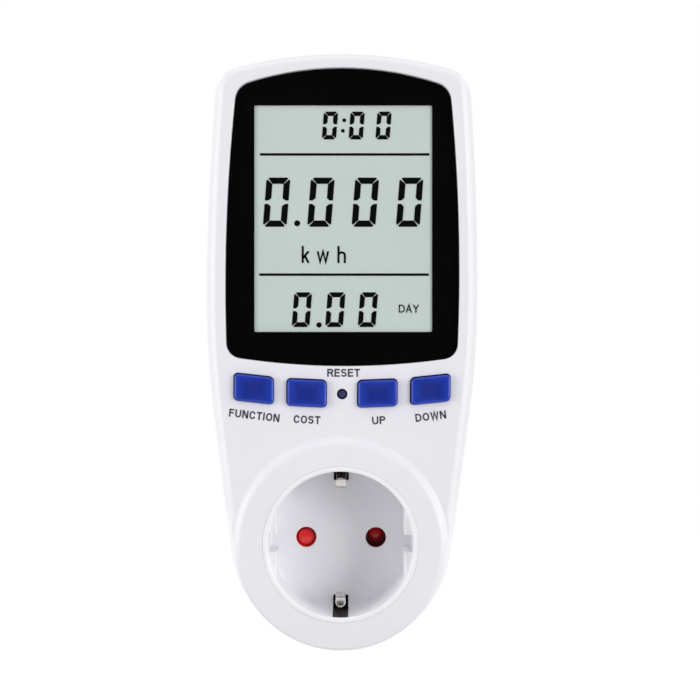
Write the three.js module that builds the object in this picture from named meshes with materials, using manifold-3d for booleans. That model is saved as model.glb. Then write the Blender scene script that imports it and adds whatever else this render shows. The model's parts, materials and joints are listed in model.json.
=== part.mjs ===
// Plug-in power meter with a two-pin earthed (Schuko) plug and outlet, as an assembly of separate parts.
//
// Frame: millimetres, +Z up, the front faces -Y. The origin is the middle of the plug's end face, between
// the pins, so the plug and the outlet share the Y axis. Depths are Y values: 0 is the plug's end face, the
// pins reach +19, and everything nearer the user is more negative.

import * as THREE from 'three';
import { mergeVertices } from 'three/addons/utils/BufferGeometryUtils.js';
import Module from 'manifold-3d';

const wasm = await Module();
wasm.setup();

// ---------------------------------------------------------------- driving dimensions

const GAP = 0.3; // between parts that touch in the real object

const DEPTH = {
  pinTip: 19,
  plugFace: 0,
  rearFace: -19,
  parting: -41,
  frontFace: -57.8,
  outletRim: -59,
  wellFloor: -40.6,
};

const SHELL = { wall: 2, frontDraft: 0.14, rearDraft: 0.1, frontFillet: 2, rearFillet: 3.2, filletSteps: 3 };
const TONGUE = { height: 2.2, thickness: 0.9 };
const LABEL = { width: 40, height: 62, centreZ: 76, cornerR: 2, recess: 0.35 };

// Circles that the right half of the body's outline rolls over, widest where the shells meet.
const BODY = {
  bottomR: 30.2,
  halfWidth: 36.9,
  widestZ: 66,
  hipR: 252,
  flankR: 727,
  cornerR: 8,
  archR: 112,
  topZ: 131.2,
};

const WINDOW = {
  bottomZ: 47.1,
  sillR: 190,
  lowerCornerR: 4,
  halfWidth: 30.65,
  widestZ: 70,
  flankR: 480,
  upperCornerR: 5,
  archR: 82,
  topZ: 125.2,
  thickness: 1.8,
  ledge: 2.2,
  ledgeMargin: 1.5,
  ledgeRear: -54.4,
};

const OUTLET = {
  wellR: 19.15,
  cupR: 20.35,
  flangeR: 24,
  bossR: 27.4,
  bossFillet: 1.2,
  floor: 1.1,
  guideX: 16.85,
  guideSetBack: 3,
  notchWidth: 4.6,
  pinX: 9.5,
  holeR: 2.75,
  rimFillet: 0.6,
};

const EARTH = { slotWidth: 4.15, slotInnerZ: 15.6, slotOuterZ: 21, clipWidth: 2.65, sheet: 0.6, runZ: 17.9 };
const SLOT_LINING = { width: 3.5, innerZ: 19.4, outerZ: 20.25, front: -57.6 };
const PLUG_EARTH = { width: 4.4, sheet: 0.8, outerZ: 17.9 };
const PLUG_EARTH_WINDOW = { width: 5, end: -2.6, innerZ: 15, outerZ: 20 };

const PIN_HOLDER = { r: 15.1, halfLength: 13.8, halfHeight: 5.5, depths: [-8.6, -4.9] };
const EARTH_BRIDGE = { halfWidth: 2.4, halfLength: 17.2, depths: [-23.9, -23.5] };

const PLUG = { r: 18.6, flatX: 16.2, ribWidth: 4, hollowR: 15.5, hollowX: 14.2, face: 2 };
const PIN = { r: 2.4, root: -10, collarR: 3.8, collar: 2.6, rounding: 1.6 };

// Keys lie on an arc, parallel to the window's lower edge, about a centre a little right of the plug's axis.
const KEYS = {
  rowX: 0.2,
  arcR: 215,
  arcZ: 39.7,
  width: 10,
  height: 6.85,
  cornerR: 1,
  proud: 1.3,
  crown: 0.5,
  flange: 0.8,
  travel: 0.8,
};
// How far each key's centre is from the row's centre.
const KEY_X = { function_key: -23.2, cost_key: -9.3, up_key: 9.3, down_key: 23.2 };
const RESET = { r: 1.1, holeR: 1.4, recess: 0.5, flangeR: 2.2 };

const DISPLAY_BOARD = { halfWidth: 30, bottomZ: 33.6, topZ: 117, front: -49.9, thickness: 1.6 };
const POWER_BOARD = { halfWidth: 27, bottomZ: 33.6, topZ: 116, front: -31.6, thickness: 1.6 };
const LCD = { x: 0.15, halfWidth: 24.6, bottomZ: 53.2, topZ: 116.6, front: -55.7, thickness: 2.2 };
const ZEBRA = { halfLength: 22.4, bottomZ: 53.6, topZ: 55.4 };
const HOLDER = { rim: 1.1, zebraHalfWidth: 23, zebraTop: 3, slotHalfWidth: 18, slotBottom: 12, slotTop: 10 };

const SWITCH = { size: 6, height: 3.2, plungerR: 1.6, plungerRoom: 1.8, plungerFront: -54.55, boreFloor: 1 };
const SHUTTER = { r: 13.6, hubR: 4.6, boreR: 1.7, thickness: 4, lobeHalfAngle: 19 };
const SHUTTER_RAMPS = {
  live: { turn: 0, angle: 22, depth: 2 },
  neutral: { turn: 180, angle: 8, depth: 0.5 },
};
const SHUTTER_SPRING = { coilR: 2.9, wireR: 0.28, turns: 3, pitch: 0.75, start: -34.2 };
const CARRIER = {
  r: 20.4,
  chamberR: 14.2,
  chamberWall: 1.2,
  plateFront: -34.9,
  plate: 2,
  pocketR: 4.4,
  pocketRear: -22,
  springR: 3.6,
  springRear: -31.4,
  notchHalfWidth: 2.4,
  notchInnerZ: 16,
};
const CONTACT = { outerR: 3.3, innerR: 2.5, front: -32.6, rear: -20.9, floor: 0.7, slit: 0.8 };

const CASE_SCREW = { headR: 2.8, head: 2.2, shankR: 1.4, length: 15, driveR: 1.2, driveDepth: 1.2 };
const CASE_SCREWS = {
  upper_left: [-20, 121.8],
  upper_right: [20, 121.8],
  lower_left: [-21.8, 26],
  lower_right: [21.8, 26],
};
const SCREW_BOSS = { frontR: 3, rearR: 4, boreR: 3.1, seat: -31, clearR: 1.7 };

// Parts on the power board, by where they stand and how high they are.
const FILM_CAPACITOR = { xs: [-22, -4], zs: [46, 54.5], height: 13.5 };
const ELECTROLYTIC_CAPACITOR = { x: -16, z: 66, r: 4, height: 12 };
const VARISTOR = { x: 18, z: 46, r: 5, length: 3.4, lift: 1 };
const SHUNT = { xs: [2, 13], zs: [37.6, 40.4], height: 4, sheet: 1 };
const METERING_CHIP = { xs: [-6, 6], zs: [78, 85.5], height: 2 };
const CRYSTAL_CAN = { x: 16, z: 82, r: 1.5, length: 6 };
const BACKUP_BATTERY = { x: 0, z: 101, r: 5.8, length: 17 };

const BOARD_SCREW = { headR: 1.8, head: 1.2, shankR: 0.9, length: 4.5, driveR: 0.8, driveDepth: 0.6 };
const BOARD_SCREWS = { left: [-28.2, 82], right: [28.2, 82] };
const BOARD_BOSS = { r: 1.8, front: -56, pilotR: 1.1, pilotFront: -54.8 };
const BOARD_POST = { r: 2, xs: [-22, 22], zs: [42, 108] };
const CARRIER_SCREW = { headR: 2, head: 1.4, shankR: 1, length: 5, driveR: 0.9, driveDepth: 0.7 };
const CARRIER_SCREWS = { upper: [12.9, 12.9], lower: [-12.9, -12.9] };

// ---------------------------------------------------------------- solids

/** A closed geometry as a manifold-3d solid that faces outwards. */
function solid(geometry) {
  const bare = geometry.clone();
  for (const name of Object.keys(bare.attributes)) {
    if (name !== 'position') bare.deleteAttribute(name);
  }
  const merged = mergeVertices(bare, 1e-4);
  const triVerts = new Uint32Array(merged.index.array);
  const vertProperties = merged.attributes.position.array;
  const made = new wasm.Manifold(new wasm.Mesh({ numProp: 3, vertProperties, triVerts }));
  if (made.volume() > 0) return made;
  return new wasm.Manifold(new wasm.Mesh({ numProp: 3, vertProperties, triVerts: triVerts.reverse() }));
}

function geometryOf(manifold) {
  const mesh = manifold.getMesh();
  return new THREE.BufferGeometry()
    .setAttribute('position', new THREE.BufferAttribute(mesh.vertProperties, 3))
    .setIndex(new THREE.BufferAttribute(mesh.triVerts, 1));
}

const join = (...parts) => geometryOf(parts.map(solid).reduce((a, b) => a.add(b)));
const cut = (body, ...tools) => geometryOf(tools.map(solid).reduce((a, b) => a.subtract(b), solid(body)));
const overlap = (a, b) => geometryOf(solid(a).intersect(solid(b)));

/** A box between two values on each axis. */
function box([x0, x1], [y0, y1], [z0, z1]) {
  const size = new THREE.BoxGeometry(x1 - x0, y1 - y0, z1 - z0);
  return size.translate((x0 + x1) / 2, (y0 + y1) / 2, (z0 + z1) / 2);
}

/** A round bar along Y. */
function rod(x, z, r, [y0, y1], sides = 16) {
  return new THREE.CylinderGeometry(r, r, y1 - y0, sides).translate(x, (y0 + y1) / 2, z);
}

/** A turned solid about Y from [radius, depth] pairs that start and end on the axis. */
function turned(profile, sides) {
  return new THREE.LatheGeometry(profile.map(([r, y]) => new THREE.Vector2(r, y)), sides);
}

/** A plate between two depths, from an outline of (x, z) points. */
function plate(outline, [y0, y1]) {
  const flat = new THREE.ExtrudeGeometry(new THREE.Shape(outline), { depth: y1 - y0, bevelEnabled: false });
  return flat.rotateX(Math.PI / 2).translate(0, y1, 0);
}

/** A solid through outlines of equally many (x, z) points at successive depths. */
function loft(rings) {
  const count = rings[0].outline.length;
  const position = rings.flatMap(({ y, outline }) => outline.flatMap((p) => [p.x, y, p.y]));
  const index = [];
  for (let ring = 0; ring + 1 < rings.length; ring++) {
    for (let i = 0; i < count; i++) {
      const a = ring * count + i;
      const b = ring * count + ((i + 1) % count);
      index.push(a, b, a + count, b, b + count, a + count);
    }
  }
  const last = (rings.length - 1) * count;
  for (const [a, b, c] of THREE.ShapeUtils.triangulateShape(rings[0].outline, [])) index.push(a, c, b);
  for (const [a, b, c] of THREE.ShapeUtils.triangulateShape(rings.at(-1).outline, [])) {
    index.push(last + a, last + b, last + c);
  }
  return new THREE.BufferGeometry()
    .setAttribute('position', new THREE.Float32BufferAttribute(position, 3))
    .setIndex(index);
}

/** Sheet metal, or any strip, bent in the YZ plane along (y, z) points and centred on x. */
function strip(path, sheet, x, width) {
  const points = path.map(([y, z]) => new THREE.Vector2(y, z));
  const edge = (side) =>
    points.map((p, i) => {
      const before = points[Math.max(i - 1, 0)];
      const after = points[Math.min(i + 1, points.length - 1)];
      const along = after.clone().sub(before).normalize();
      return new THREE.Vector2(-along.y, along.x).multiplyScalar((side * sheet) / 2).add(p);
    });
  const shape = new THREE.Shape([...edge(-1), ...edge(1).reverse()]);
  const flat = new THREE.ExtrudeGeometry(shape, { depth: width, bevelEnabled: false });
  flat.rotateX(Math.PI / 2).rotateZ(Math.PI / 2);
  return flat.translate(x - width / 2, 0, 0);
}

/** A round wire along a smooth curve through points. */
function wire(points, r, steps, halfSides = 4) {
  const extrudePath = new THREE.CatmullRomCurve3(points.map((p) => new THREE.Vector3(...p)));
  const section = new THREE.Shape().absarc(0, 0, r, 0, 2 * Math.PI);
  return new THREE.ExtrudeGeometry(section, { extrudePath, steps, curveSegments: halfSides });
}

/** A pan-head screw along Y that points to the front, its head's underside at y = 0. */
function screw({ headR, head, shankR, length, driveR, driveDepth }) {
  const body = turned(
    [
      [0, -length],
      [shankR, -length + shankR],
      [shankR, 0],
      [headR, 0],
      [headR, head * 0.55],
      [headR * 0.75, head],
      [0, head],
    ],
    12,
  );
  const long = box([-driveR, driveR], [head - driveDepth, head + 1], [-driveR / 4, driveR / 4]);
  return cut(body, long, long.clone().rotateY(Math.PI / 2));
}

// ---------------------------------------------------------------- outlines

/** The circle of radius r that touches circles a and b from inside, at their right-hand crossing. */
function nestled(a, b, r, steps) {
  const [fromA, fromB] = [a.r - r, b.r - r];
  const [dx, dz] = [b.x - a.x, b.z - a.z];
  const apart = Math.hypot(dx, dz);
  const along = (fromA ** 2 - fromB ** 2 + apart ** 2) / (2 * apart);
  const aside = Math.sqrt(fromA ** 2 - along ** 2);
  const crossing = (side) => ({
    x: a.x + (dx * along - side * dz * aside) / apart,
    z: a.z + (dz * along + side * dx * aside) / apart,
  });
  const [one, other] = [crossing(1), crossing(-1)];
  return { ...(one.x > other.x ? one : other), r, steps };
}

/**
 * A closed outline, symmetric about x = 0, that rolls over the circles of its right half from bottom to top.
 * Neighbours are joined by their common tangent, so outlines at different insets stay parallel.
 */
function rolledOutline(circles, inset = 0) {
  const turns = [-Math.PI / 2];
  for (let i = 0; i + 1 < circles.length; i++) {
    const [a, b] = [circles[i], circles[i + 1]];
    const [dx, dz] = [b.x - a.x, b.z - a.z];
    const reach = THREE.MathUtils.clamp((a.r - b.r) / Math.hypot(dx, dz), -1, 1);
    const turn = Math.atan2(dz, dx) - Math.acos(reach);
    turns.push(turn < -Math.PI / 2 ? turn + 2 * Math.PI : turn);
  }
  turns.push(Math.PI / 2);
  const right = [];
  circles.forEach(({ x, z, r, steps }, i) => {
    for (let k = 0; k <= steps; k++) {
      const turn = THREE.MathUtils.lerp(turns[i], turns[i + 1], k / steps);
      const p = new THREE.Vector2(x + (r - inset) * Math.cos(turn), z + (r - inset) * Math.sin(turn));
      if (!right.length || p.distanceTo(right.at(-1)) > 0.01) right.push(p);
    }
  });
  const left = right.slice(1, -1).reverse();
  return [...right, ...left.map((p) => new THREE.Vector2(-p.x, p.y))];
}

function bodyCircles() {
  const { bottomR, halfWidth, widestZ, hipR, flankR, cornerR, archR, topZ } = BODY;
  const bottom = { x: 0, z: 0, r: bottomR, steps: 8 };
  const hip = { x: halfWidth - hipR, z: widestZ, r: hipR, steps: 3 };
  const flank = { x: halfWidth - flankR, z: widestZ, r: flankR, steps: 2 };
  const arch = { x: 0, z: topZ - archR, r: archR, steps: 3 };
  return [bottom, hip, flank, nestled(flank, arch, cornerR, 4), arch];
}

function windowCircles() {
  const { bottomZ, sillR, lowerCornerR, halfWidth, widestZ, flankR, upperCornerR, archR, topZ } = WINDOW;
  const sill = { x: 0, z: bottomZ + sillR, r: sillR, steps: 3 };
  const flank = { x: halfWidth - flankR, z: widestZ, r: flankR, steps: 4 };
  const arch = { x: 0, z: topZ - archR, r: archR, steps: 4 };
  return [sill, nestled(sill, flank, lowerCornerR, 4), flank, nestled(flank, arch, upperCornerR, 4), arch];
}

const bodyOutline = (inset) => rolledOutline(bodyCircles(), inset);
const windowOutline = (inset) => rolledOutline(windowCircles(), inset);

/** A rectangle with round corners about the origin. */
function roundedRectangle(width, height, r, steps = 3) {
  const points = [];
  for (const [sx, sz, start] of [[1, 1, 0], [-1, 1, 1], [-1, -1, 2], [1, -1, 3]]) {
    for (let k = 0; k <= steps; k++) {
      const turn = ((start + k / steps) * Math.PI) / 2;
      const x = sx * (width / 2 - r) + r * Math.cos(turn);
      points.push(new THREE.Vector2(x, sz * (height / 2 - r) + r * Math.sin(turn)));
    }
  }
  return points;
}

const keySlope = (x) => x / KEYS.arcR;
const keyZ = (x) => KEYS.arcZ + x ** 2 / (2 * KEYS.arcR);

/** A key's outline about the origin: upright sides, with its top and bottom along the keys' arc. */
function keyOutline(x, grow) {
  const { width, height, cornerR } = KEYS;
  const square = roundedRectangle(width + 2 * grow, height + 2 * grow, Math.max(cornerR + grow, 0.3));
  return square.map((p) => new THREE.Vector2(p.x, p.y + p.x * keySlope(x)));
}

/** The outside of a shell from the parting plane to its face, drafted and with a filleted edge. */
function shellRings(face, draft, fillet) {
  const towards = Math.sign(face - DEPTH.parting);
  const lean = Math.atan(draft);
  const tangentDepth = face - towards * fillet * (1 - Math.sin(lean));
  const centreInset = draft * Math.abs(tangentDepth - DEPTH.parting) + fillet * Math.cos(lean);
  const rings = [{ y: DEPTH.parting + (towards * GAP) / 2, outline: bodyOutline(0) }];
  for (let k = 0; k <= SHELL.filletSteps; k++) {
    const turn = THREE.MathUtils.lerp(lean, Math.PI / 2, k / SHELL.filletSteps);
    const y = face - towards * fillet * (1 - Math.sin(turn));
    rings.push({ y, outline: bodyOutline(centreInset - fillet * Math.cos(turn)) });
  }
  return rings;
}

/** The room inside a shell, which runs a little past the parting plane. */
function shellRoom(face, draft) {
  const towards = Math.sign(face - DEPTH.parting);
  const end = face - towards * SHELL.wall;
  const deep = SHELL.wall + draft * Math.abs(end - DEPTH.parting);
  return loft([
    { y: DEPTH.parting - towards, outline: bodyOutline(SHELL.wall) },
    { y: DEPTH.parting, outline: bodyOutline(SHELL.wall) },
    { y: end, outline: bodyOutline(deep) },
  ]);
}

// ---------------------------------------------------------------- casing

function frontCover() {
  const { frontFace, outletRim, parting } = DEPTH;
  const inside = frontFace + SHELL.wall;
  const outside = loft(shellRings(frontFace, SHELL.frontDraft, SHELL.frontFillet));
  const { bossR, bossFillet, cupR } = OUTLET;
  const boss = turned(
    [
      [0, outletRim],
      [bossR - bossFillet, outletRim],
      [bossR - bossFillet * (1 - Math.SQRT1_2), outletRim + bossFillet * (1 - Math.SQRT1_2)],
      [bossR, frontFace],
      [bossR, inside],
      [0, inside],
    ],
    48,
  );
  const screwBosses = Object.values(CASE_SCREWS).map(([x, z]) =>
    rod(x, z, SCREW_BOSS.frontR, [inside - 0.5, parting - GAP], 12),
  );
  const boardFront = DISPLAY_BOARD.front - GAP;
  const boardBosses = Object.values(BOARD_SCREWS).map(([x, z]) =>
    rod(x, z, BOARD_BOSS.r, [BOARD_BOSS.front, boardFront], 10),
  );
  const ledge = plate(windowOutline(-WINDOW.ledgeMargin), [inside - 0.5, WINDOW.ledgeRear]);
  const hollow = cut(join(outside, boss), shellRoom(frontFace, SHELL.frontDraft));
  const filled = join(hollow, ledge, ...screwBosses, ...boardBosses);
  const keyHoles = Object.values(KEY_X).map((x) =>
    plate(keyOutline(x, GAP), [frontFace - 1, inside + 1]).translate(KEYS.rowX + x, 0, keyZ(x)),
  );
  const pilots = Object.values(CASE_SCREWS).map(([x, z]) =>
    rod(x, z, CASE_SCREW.shankR + 0.2, [SCREW_BOSS.seat - CASE_SCREW.length - 2, parting + 1], 10),
  );
  const boardPilots = Object.values(BOARD_SCREWS).map(([x, z]) =>
    rod(x, z, BOARD_BOSS.pilotR, [BOARD_BOSS.pilotFront, boardFront + 1], 8),
  );
  return cut(
    filled,
    plate(windowOutline(-GAP), [frontFace - 1, frontFace + WINDOW.thickness + GAP]),
    plate(windowOutline(WINDOW.ledge), [frontFace - 1, WINDOW.ledgeRear + 1]),
    rod(0, 0, cupR + GAP, [outletRim - 1, inside + 1], 48),
    rod(KEYS.rowX, KEYS.arcZ, RESET.holeR, [frontFace - 1, inside + 1], 16),
    ...keyHoles,
    ...pilots,
    ...boardPilots,
  );
}

/** The plug's body: round, with a flat and a rib each side that guide it into a wall socket. */
function plugBody() {
  const { r, flatX, ribWidth } = PLUG;
  const edge = 1;
  const depths = [DEPTH.rearFace - 1, DEPTH.plugFace];
  const round = turned(
    [
      [0, depths[0]],
      [r, depths[0]],
      [r, -edge],
      [r - edge * (1 - Math.SQRT1_2), -edge * (1 - Math.SQRT1_2)],
      [r - edge, 0],
      [0, 0],
    ],
    48,
  );
  const flats = box([-flatX, flatX], depths, [-r, r]);
  const ribs = box([-r, r], depths, [-ribWidth / 2, ribWidth / 2]);
  return overlap(round, join(flats, ribs));
}

function rearCover() {
  const { rearFace, parting, plugFace } = DEPTH;
  const inside = rearFace - SHELL.wall;
  const outside = loft(shellRings(rearFace, SHELL.rearDraft, SHELL.rearFillet));
  const tongueOuter = SHELL.wall + GAP + SHELL.frontDraft * TONGUE.height;
  const tongueInner = tongueOuter + TONGUE.thickness;
  const tongue = cut(
    plate(bodyOutline(tongueOuter), [parting - TONGUE.height, parting + 2]),
    plate(bodyOutline(tongueInner), [parting - 3, parting + 3]),
  );
  const root = cut(
    plate(bodyOutline(SHELL.wall - 0.6), [parting + 0.5, parting + 2]),
    plate(bodyOutline(tongueInner), [parting - 1, parting + 3]),
  );
  const towers = Object.values(CASE_SCREWS).map(([x, z]) =>
    rod(x, z, SCREW_BOSS.rearR, [parting, inside + 0.5]),
  );
  const postFront = POWER_BOARD.front + POWER_BOARD.thickness + GAP;
  const posts = BOARD_POST.xs.flatMap((x) =>
    BOARD_POST.zs.map((z) => rod(x, z, BOARD_POST.r, [postFront, inside + 0.5], 12)),
  );
  const hollow = cut(outside, shellRoom(rearFace, SHELL.rearDraft));
  const filled = join(hollow, plugBody(), tongue, root, ...towers, ...posts);
  const plugRoom = overlap(
    rod(0, 0, PLUG.hollowR, [inside - 1, plugFace - PLUG.face], 40),
    box([-PLUG.hollowX, PLUG.hollowX], [inside - 2, plugFace], [-PLUG.r, PLUG.r]),
  );
  const { width, end, innerZ, outerZ } = PLUG_EARTH_WINDOW;
  const wide = [-width / 2, width / 2];
  const earthWindows = [1, -1].map((side) => {
    const behind = box(wide, [inside - 1, end], [innerZ, PLUG_EARTH.outerZ + 0.4]);
    const opening = box(wide, [rearFace + 1, end], [innerZ, outerZ]);
    return join(behind, opening).rotateY(side > 0 ? 0 : Math.PI);
  });
  const bores = Object.values(CASE_SCREWS).flatMap(([x, z]) => [
    rod(x, z, SCREW_BOSS.boreR, [SCREW_BOSS.seat, rearFace + 1]),
    rod(x, z, SCREW_BOSS.clearR, [parting - 1, SCREW_BOSS.seat + 1], 10),
  ]);
  const pinHoles = [-1, 1].map((side) => rod(side * OUTLET.pinX, 0, PIN.r + 0.2, [-4, 1], 20));
  const labelRecess = plate(labelOutline(0.4), [rearFace - LABEL.recess, rearFace + 1]);
  return cut(filled, plugRoom, labelRecess, ...earthWindows, ...bores, ...pinHoles);
}

/** The rating plate's outline on the rear cover. */
function labelOutline(grow) {
  const { width, height, centreZ, cornerR } = LABEL;
  const points = roundedRectangle(width + 2 * grow, height + 2 * grow, cornerR + grow);
  return points.map((p) => new THREE.Vector2(p.x, p.y + centreZ));
}

const ratingLabel = () => {
  const depths = [DEPTH.rearFace - LABEL.recess + 0.05, DEPTH.rearFace - 0.05];
  return plate(labelOutline(0), depths);
};

// ---------------------------------------------------------------- outlet

/** The cup that an appliance's plug enters, with its side guides, earth slots and pin holes. */
function socketInsert() {
  const { wellR, cupR, flangeR, floor, guideX, guideSetBack, notchWidth, pinX, holeR, rimFillet } = OUTLET;
  const { outletRim, wellFloor } = DEPTH;
  const rear = wellFloor + floor;
  const round = rimFillet * (1 - Math.SQRT1_2);
  const cup = turned(
    [
      [0, rear],
      [flangeR, rear],
      [flangeR, rear - 1.6],
      [cupR, rear - 1.6],
      [cupR, outletRim + rimFillet],
      [cupR - round, outletRim + round],
      [(cupR + wellR) / 2, outletRim],
      [wellR + round, outletRim + round],
      [wellR, outletRim + rimFillet],
      [wellR, wellFloor],
      [0, wellFloor],
    ],
    48,
  );
  const guideDepths = [outletRim + guideSetBack, wellFloor + 0.5];
  const guides = [-1, 1].flatMap((side) =>
    [-1, 1].map((half) => {
      const xs = [guideX, cupR].map((x) => side * x).sort((a, b) => a - b);
      const zs = [notchWidth / 2, wellR].map((z) => half * z).sort((a, b) => a - b);
      return overlap(rod(0, 0, wellR + 0.4, guideDepths, 48), box(xs, guideDepths, zs));
    }),
  );
  const pivot = rod(0, 0, SHUTTER.boreR - 0.25, [rear - 0.5, CARRIER.plateFront + 1.5]);
  const bosses = Object.values(CARRIER_SCREWS).map(([x, z]) =>
    rod(x, z, 2.3, [rear - 0.5, CARRIER.plateFront - GAP], 12),
  );
  const { slotWidth, slotInnerZ, slotOuterZ } = EARTH;
  const wide = [-slotWidth / 2, slotWidth / 2];
  const slots = [1, -1].map((side) => {
    const inWall = box(wide, [outletRim + 0.9, rear + 1], [wellR - 3, slotOuterZ]);
    const inFloor = box(wide, [wellFloor - 0.1, rear + 1], [slotInnerZ, slotOuterZ]);
    return join(inWall, inFloor).rotateY(side > 0 ? 0 : Math.PI);
  });
  const holes = [-1, 1].map((side) => rod(side * pinX, 0, holeR, [wellFloor - 1, rear + 1], 16));
  const pilots = Object.values(CARRIER_SCREWS).map(([x, z]) =>
    rod(x, z, CARRIER_SCREW.shankR + 0.2, [rear - 0.6, CARRIER.plateFront + 1], 10),
  );
  return cut(join(cup, ...guides, pivot, ...bosses), ...slots, ...holes, ...pilots);
}

/** The child-safety rotor behind the pin holes: two lobes, each with a ramp on its face that a pin pushes. */
function shutter() {
  const { r, hubR, boreR, thickness, lobeHalfAngle } = SHUTTER;
  const { degToRad } = THREE.MathUtils;
  const front = DEPTH.wellFloor + OUTLET.floor + GAP;
  const depths = [front, front + thickness];
  const half = degToRad(lobeHalfAngle);
  const hub = rod(0, 0, hubR, depths, 24);
  const lobes = Object.values(SHUTTER_RAMPS).map((ramp) => {
    const turn = degToRad(ramp.turn);
    const rim = new THREE.Path().absarc(0, 0, r, turn - half, turn + half).getPoints(6);
    const blank = plate([new THREE.Vector2(0, 0), ...rim], depths);
    const above = box([hubR, r + 1], [-r, 0], [-r, r]).rotateX(degToRad(ramp.angle));
    return cut(blank, above.translate(0, front + ramp.depth, 0).rotateY(turn));
  });
  return cut(join(hub, ...lobes), rod(0, 0, boreR, [front - 1, front + thickness + 1]));
}

/** A torsion spring about the shutter's pivot. */
function shutterSpring() {
  const { coilR, wireR, turns, pitch, start } = SHUTTER_SPRING;
  const perTurn = 12;
  const points = [];
  for (let k = 0; k <= turns * perTurn; k++) {
    const turn = (k / perTurn) * 2 * Math.PI;
    points.push([coilR * Math.cos(turn), start + (pitch * k) / perTurn, coilR * Math.sin(turn)]);
  }
  return wire(points, wireR, turns * perTurn, 3);
}

/** The insulating block behind the shutter: it holds both contacts and lines each earth slot. */
function contactCarrier() {
  const { r, chamberR, chamberWall, plateFront, pocketR, pocketRear, springR, springRear } = CARRIER;
  const { notchHalfWidth, notchInnerZ } = CARRIER;
  const notchX = [-notchHalfWidth, notchHalfWidth];
  const plateRear = plateFront + CARRIER.plate;
  const floorRear = DEPTH.wellFloor + OUTLET.floor;
  const notchDepths = [floorRear - 0.5, plateRear + 1];
  const disc = rod(0, 0, r, [plateFront, plateRear], 40);
  const wall = cut(
    rod(0, 0, chamberR + chamberWall, [floorRear + GAP, plateFront + 0.5], 40),
    rod(0, 0, chamberR, [floorRear, plateFront], 40),
  );
  const pockets = [-1, 1].map((side) => rod(side * OUTLET.pinX, 0, pocketR, [plateFront + 1, pocketRear]));
  const cup = rod(0, 0, springR + 0.9, [plateFront + 1, springRear + 1]);
  const clipRoom = EARTH.sheet / 2 + 0.5;
  const earthNotches = [1, -1].map((side) =>
    box(notchX, notchDepths, [notchInnerZ, EARTH.runZ + clipRoom]).rotateY(side > 0 ? 0 : Math.PI),
  );
  const { width, innerZ, outerZ, front } = SLOT_LINING;
  const linings = [1, -1].map((side) =>
    box([-width / 2, width / 2], [front, plateFront + 0.5], [innerZ, outerZ]).rotateY(side > 0 ? 0 : Math.PI),
  );
  const bores = [-1, 1].flatMap((side) => [
    rod(side * OUTLET.pinX, 0, CONTACT.outerR + GAP, [plateRear, pocketRear + 1]),
    rod(side * OUTLET.pinX, 0, OUTLET.holeR, [plateFront - 1, plateRear + 1], 16),
  ]);
  const screwHoles = Object.values(CARRIER_SCREWS).map(([x, z]) =>
    rod(x, z, CARRIER_SCREW.shankR + 0.2, [plateFront - 1, plateRear + 1], 10),
  );
  const springRoom = rod(0, 0, springR, [plateFront - 1, springRear]);
  const block = join(disc, wall, ...pockets, cup, ...linings);
  return cut(block, springRoom, ...earthNotches, ...bores, ...screwHoles);
}

/** A split spring sleeve with a solder tag, which grips an appliance's pin. */
function contact(side) {
  const { outerR, innerR, front, rear, floor, slit } = CONTACT;
  const x = side * OUTLET.pinX;
  return cut(
    rod(x, 0, outerR, [front, rear]),
    rod(x, 0, innerR, [front - 1, rear - floor]),
    box([x - slit / 2, x + slit / 2], [front - 1, rear - 3], [-outerR - 1, outerR + 1]),
  );
}

// ---------------------------------------------------------------- earth path

/** A spring clip that stands proud of the well's wall and runs back beside the contact carrier. */
function earthClip(side) {
  const path = [
    [-53.5, 17.2],
    [-53, 15.3],
    [-52.2, 14.85],
    [-49.5, 14.35],
    [-46.6, 14.3],
    [-44.6, 14.9],
    [-42.8, 16.3],
    [-41.2, 17.4],
    [-39.5, EARTH.runZ],
    [-25.5, EARTH.runZ],
    [-24.6, EARTH.runZ - 0.3],
    [-24.2, EARTH.runZ - 1.2],
    [-24.2, EARTH.runZ - 3],
  ];
  return strip(path, EARTH.sheet, 0, EARTH.clipWidth).rotateY(side > 0 ? 0 : Math.PI);
}

/** The earth strip on the plug's own edge, which meets the wall socket's clip. */
function plugEarthContact(side) {
  const { outerZ, sheet, width } = PLUG_EARTH;
  const middleZ = outerZ - sheet / 2;
  const path = [
    [-23, middleZ - 3.3],
    [-23, middleZ - 1.1],
    [-22.4, middleZ - 0.3],
    [-21.4, middleZ],
    [-6, middleZ],
    [-4, middleZ - 0.4],
    [-3, middleZ - 1.3],
  ];
  return strip(path, sheet, 0, width).rotateY(side > 0 ? 0 : Math.PI);
}

/** The bar that joins the two earth clips and the two plug contacts across the casing. */
const earthBridge = () => {
  const { halfWidth, halfLength, depths } = EARTH_BRIDGE;
  return box([-halfWidth, halfWidth], depths, [-halfLength, halfLength]);
};

// ---------------------------------------------------------------- plug

/** A round pin, domed at its tip, with a collar behind the plug's face. */
function plugPin(side) {
  const { r, root, collarR, collar, rounding } = PIN;
  const tip = DEPTH.pinTip;
  const behindFace = -PLUG.face;
  const profile = [
    [0, root],
    [r, root],
    [r, behindFace - collar],
    [collarR, behindFace - collar],
    [collarR, behindFace - GAP],
    [r, behindFace - GAP],
    [r, tip - rounding],
    [r * 0.87, tip - rounding / 2],
    [r * 0.5, tip - rounding / 8],
    [0, tip],
  ];
  return turned(profile, 20).translate(side * OUTLET.pinX, 0, 0);
}

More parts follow.
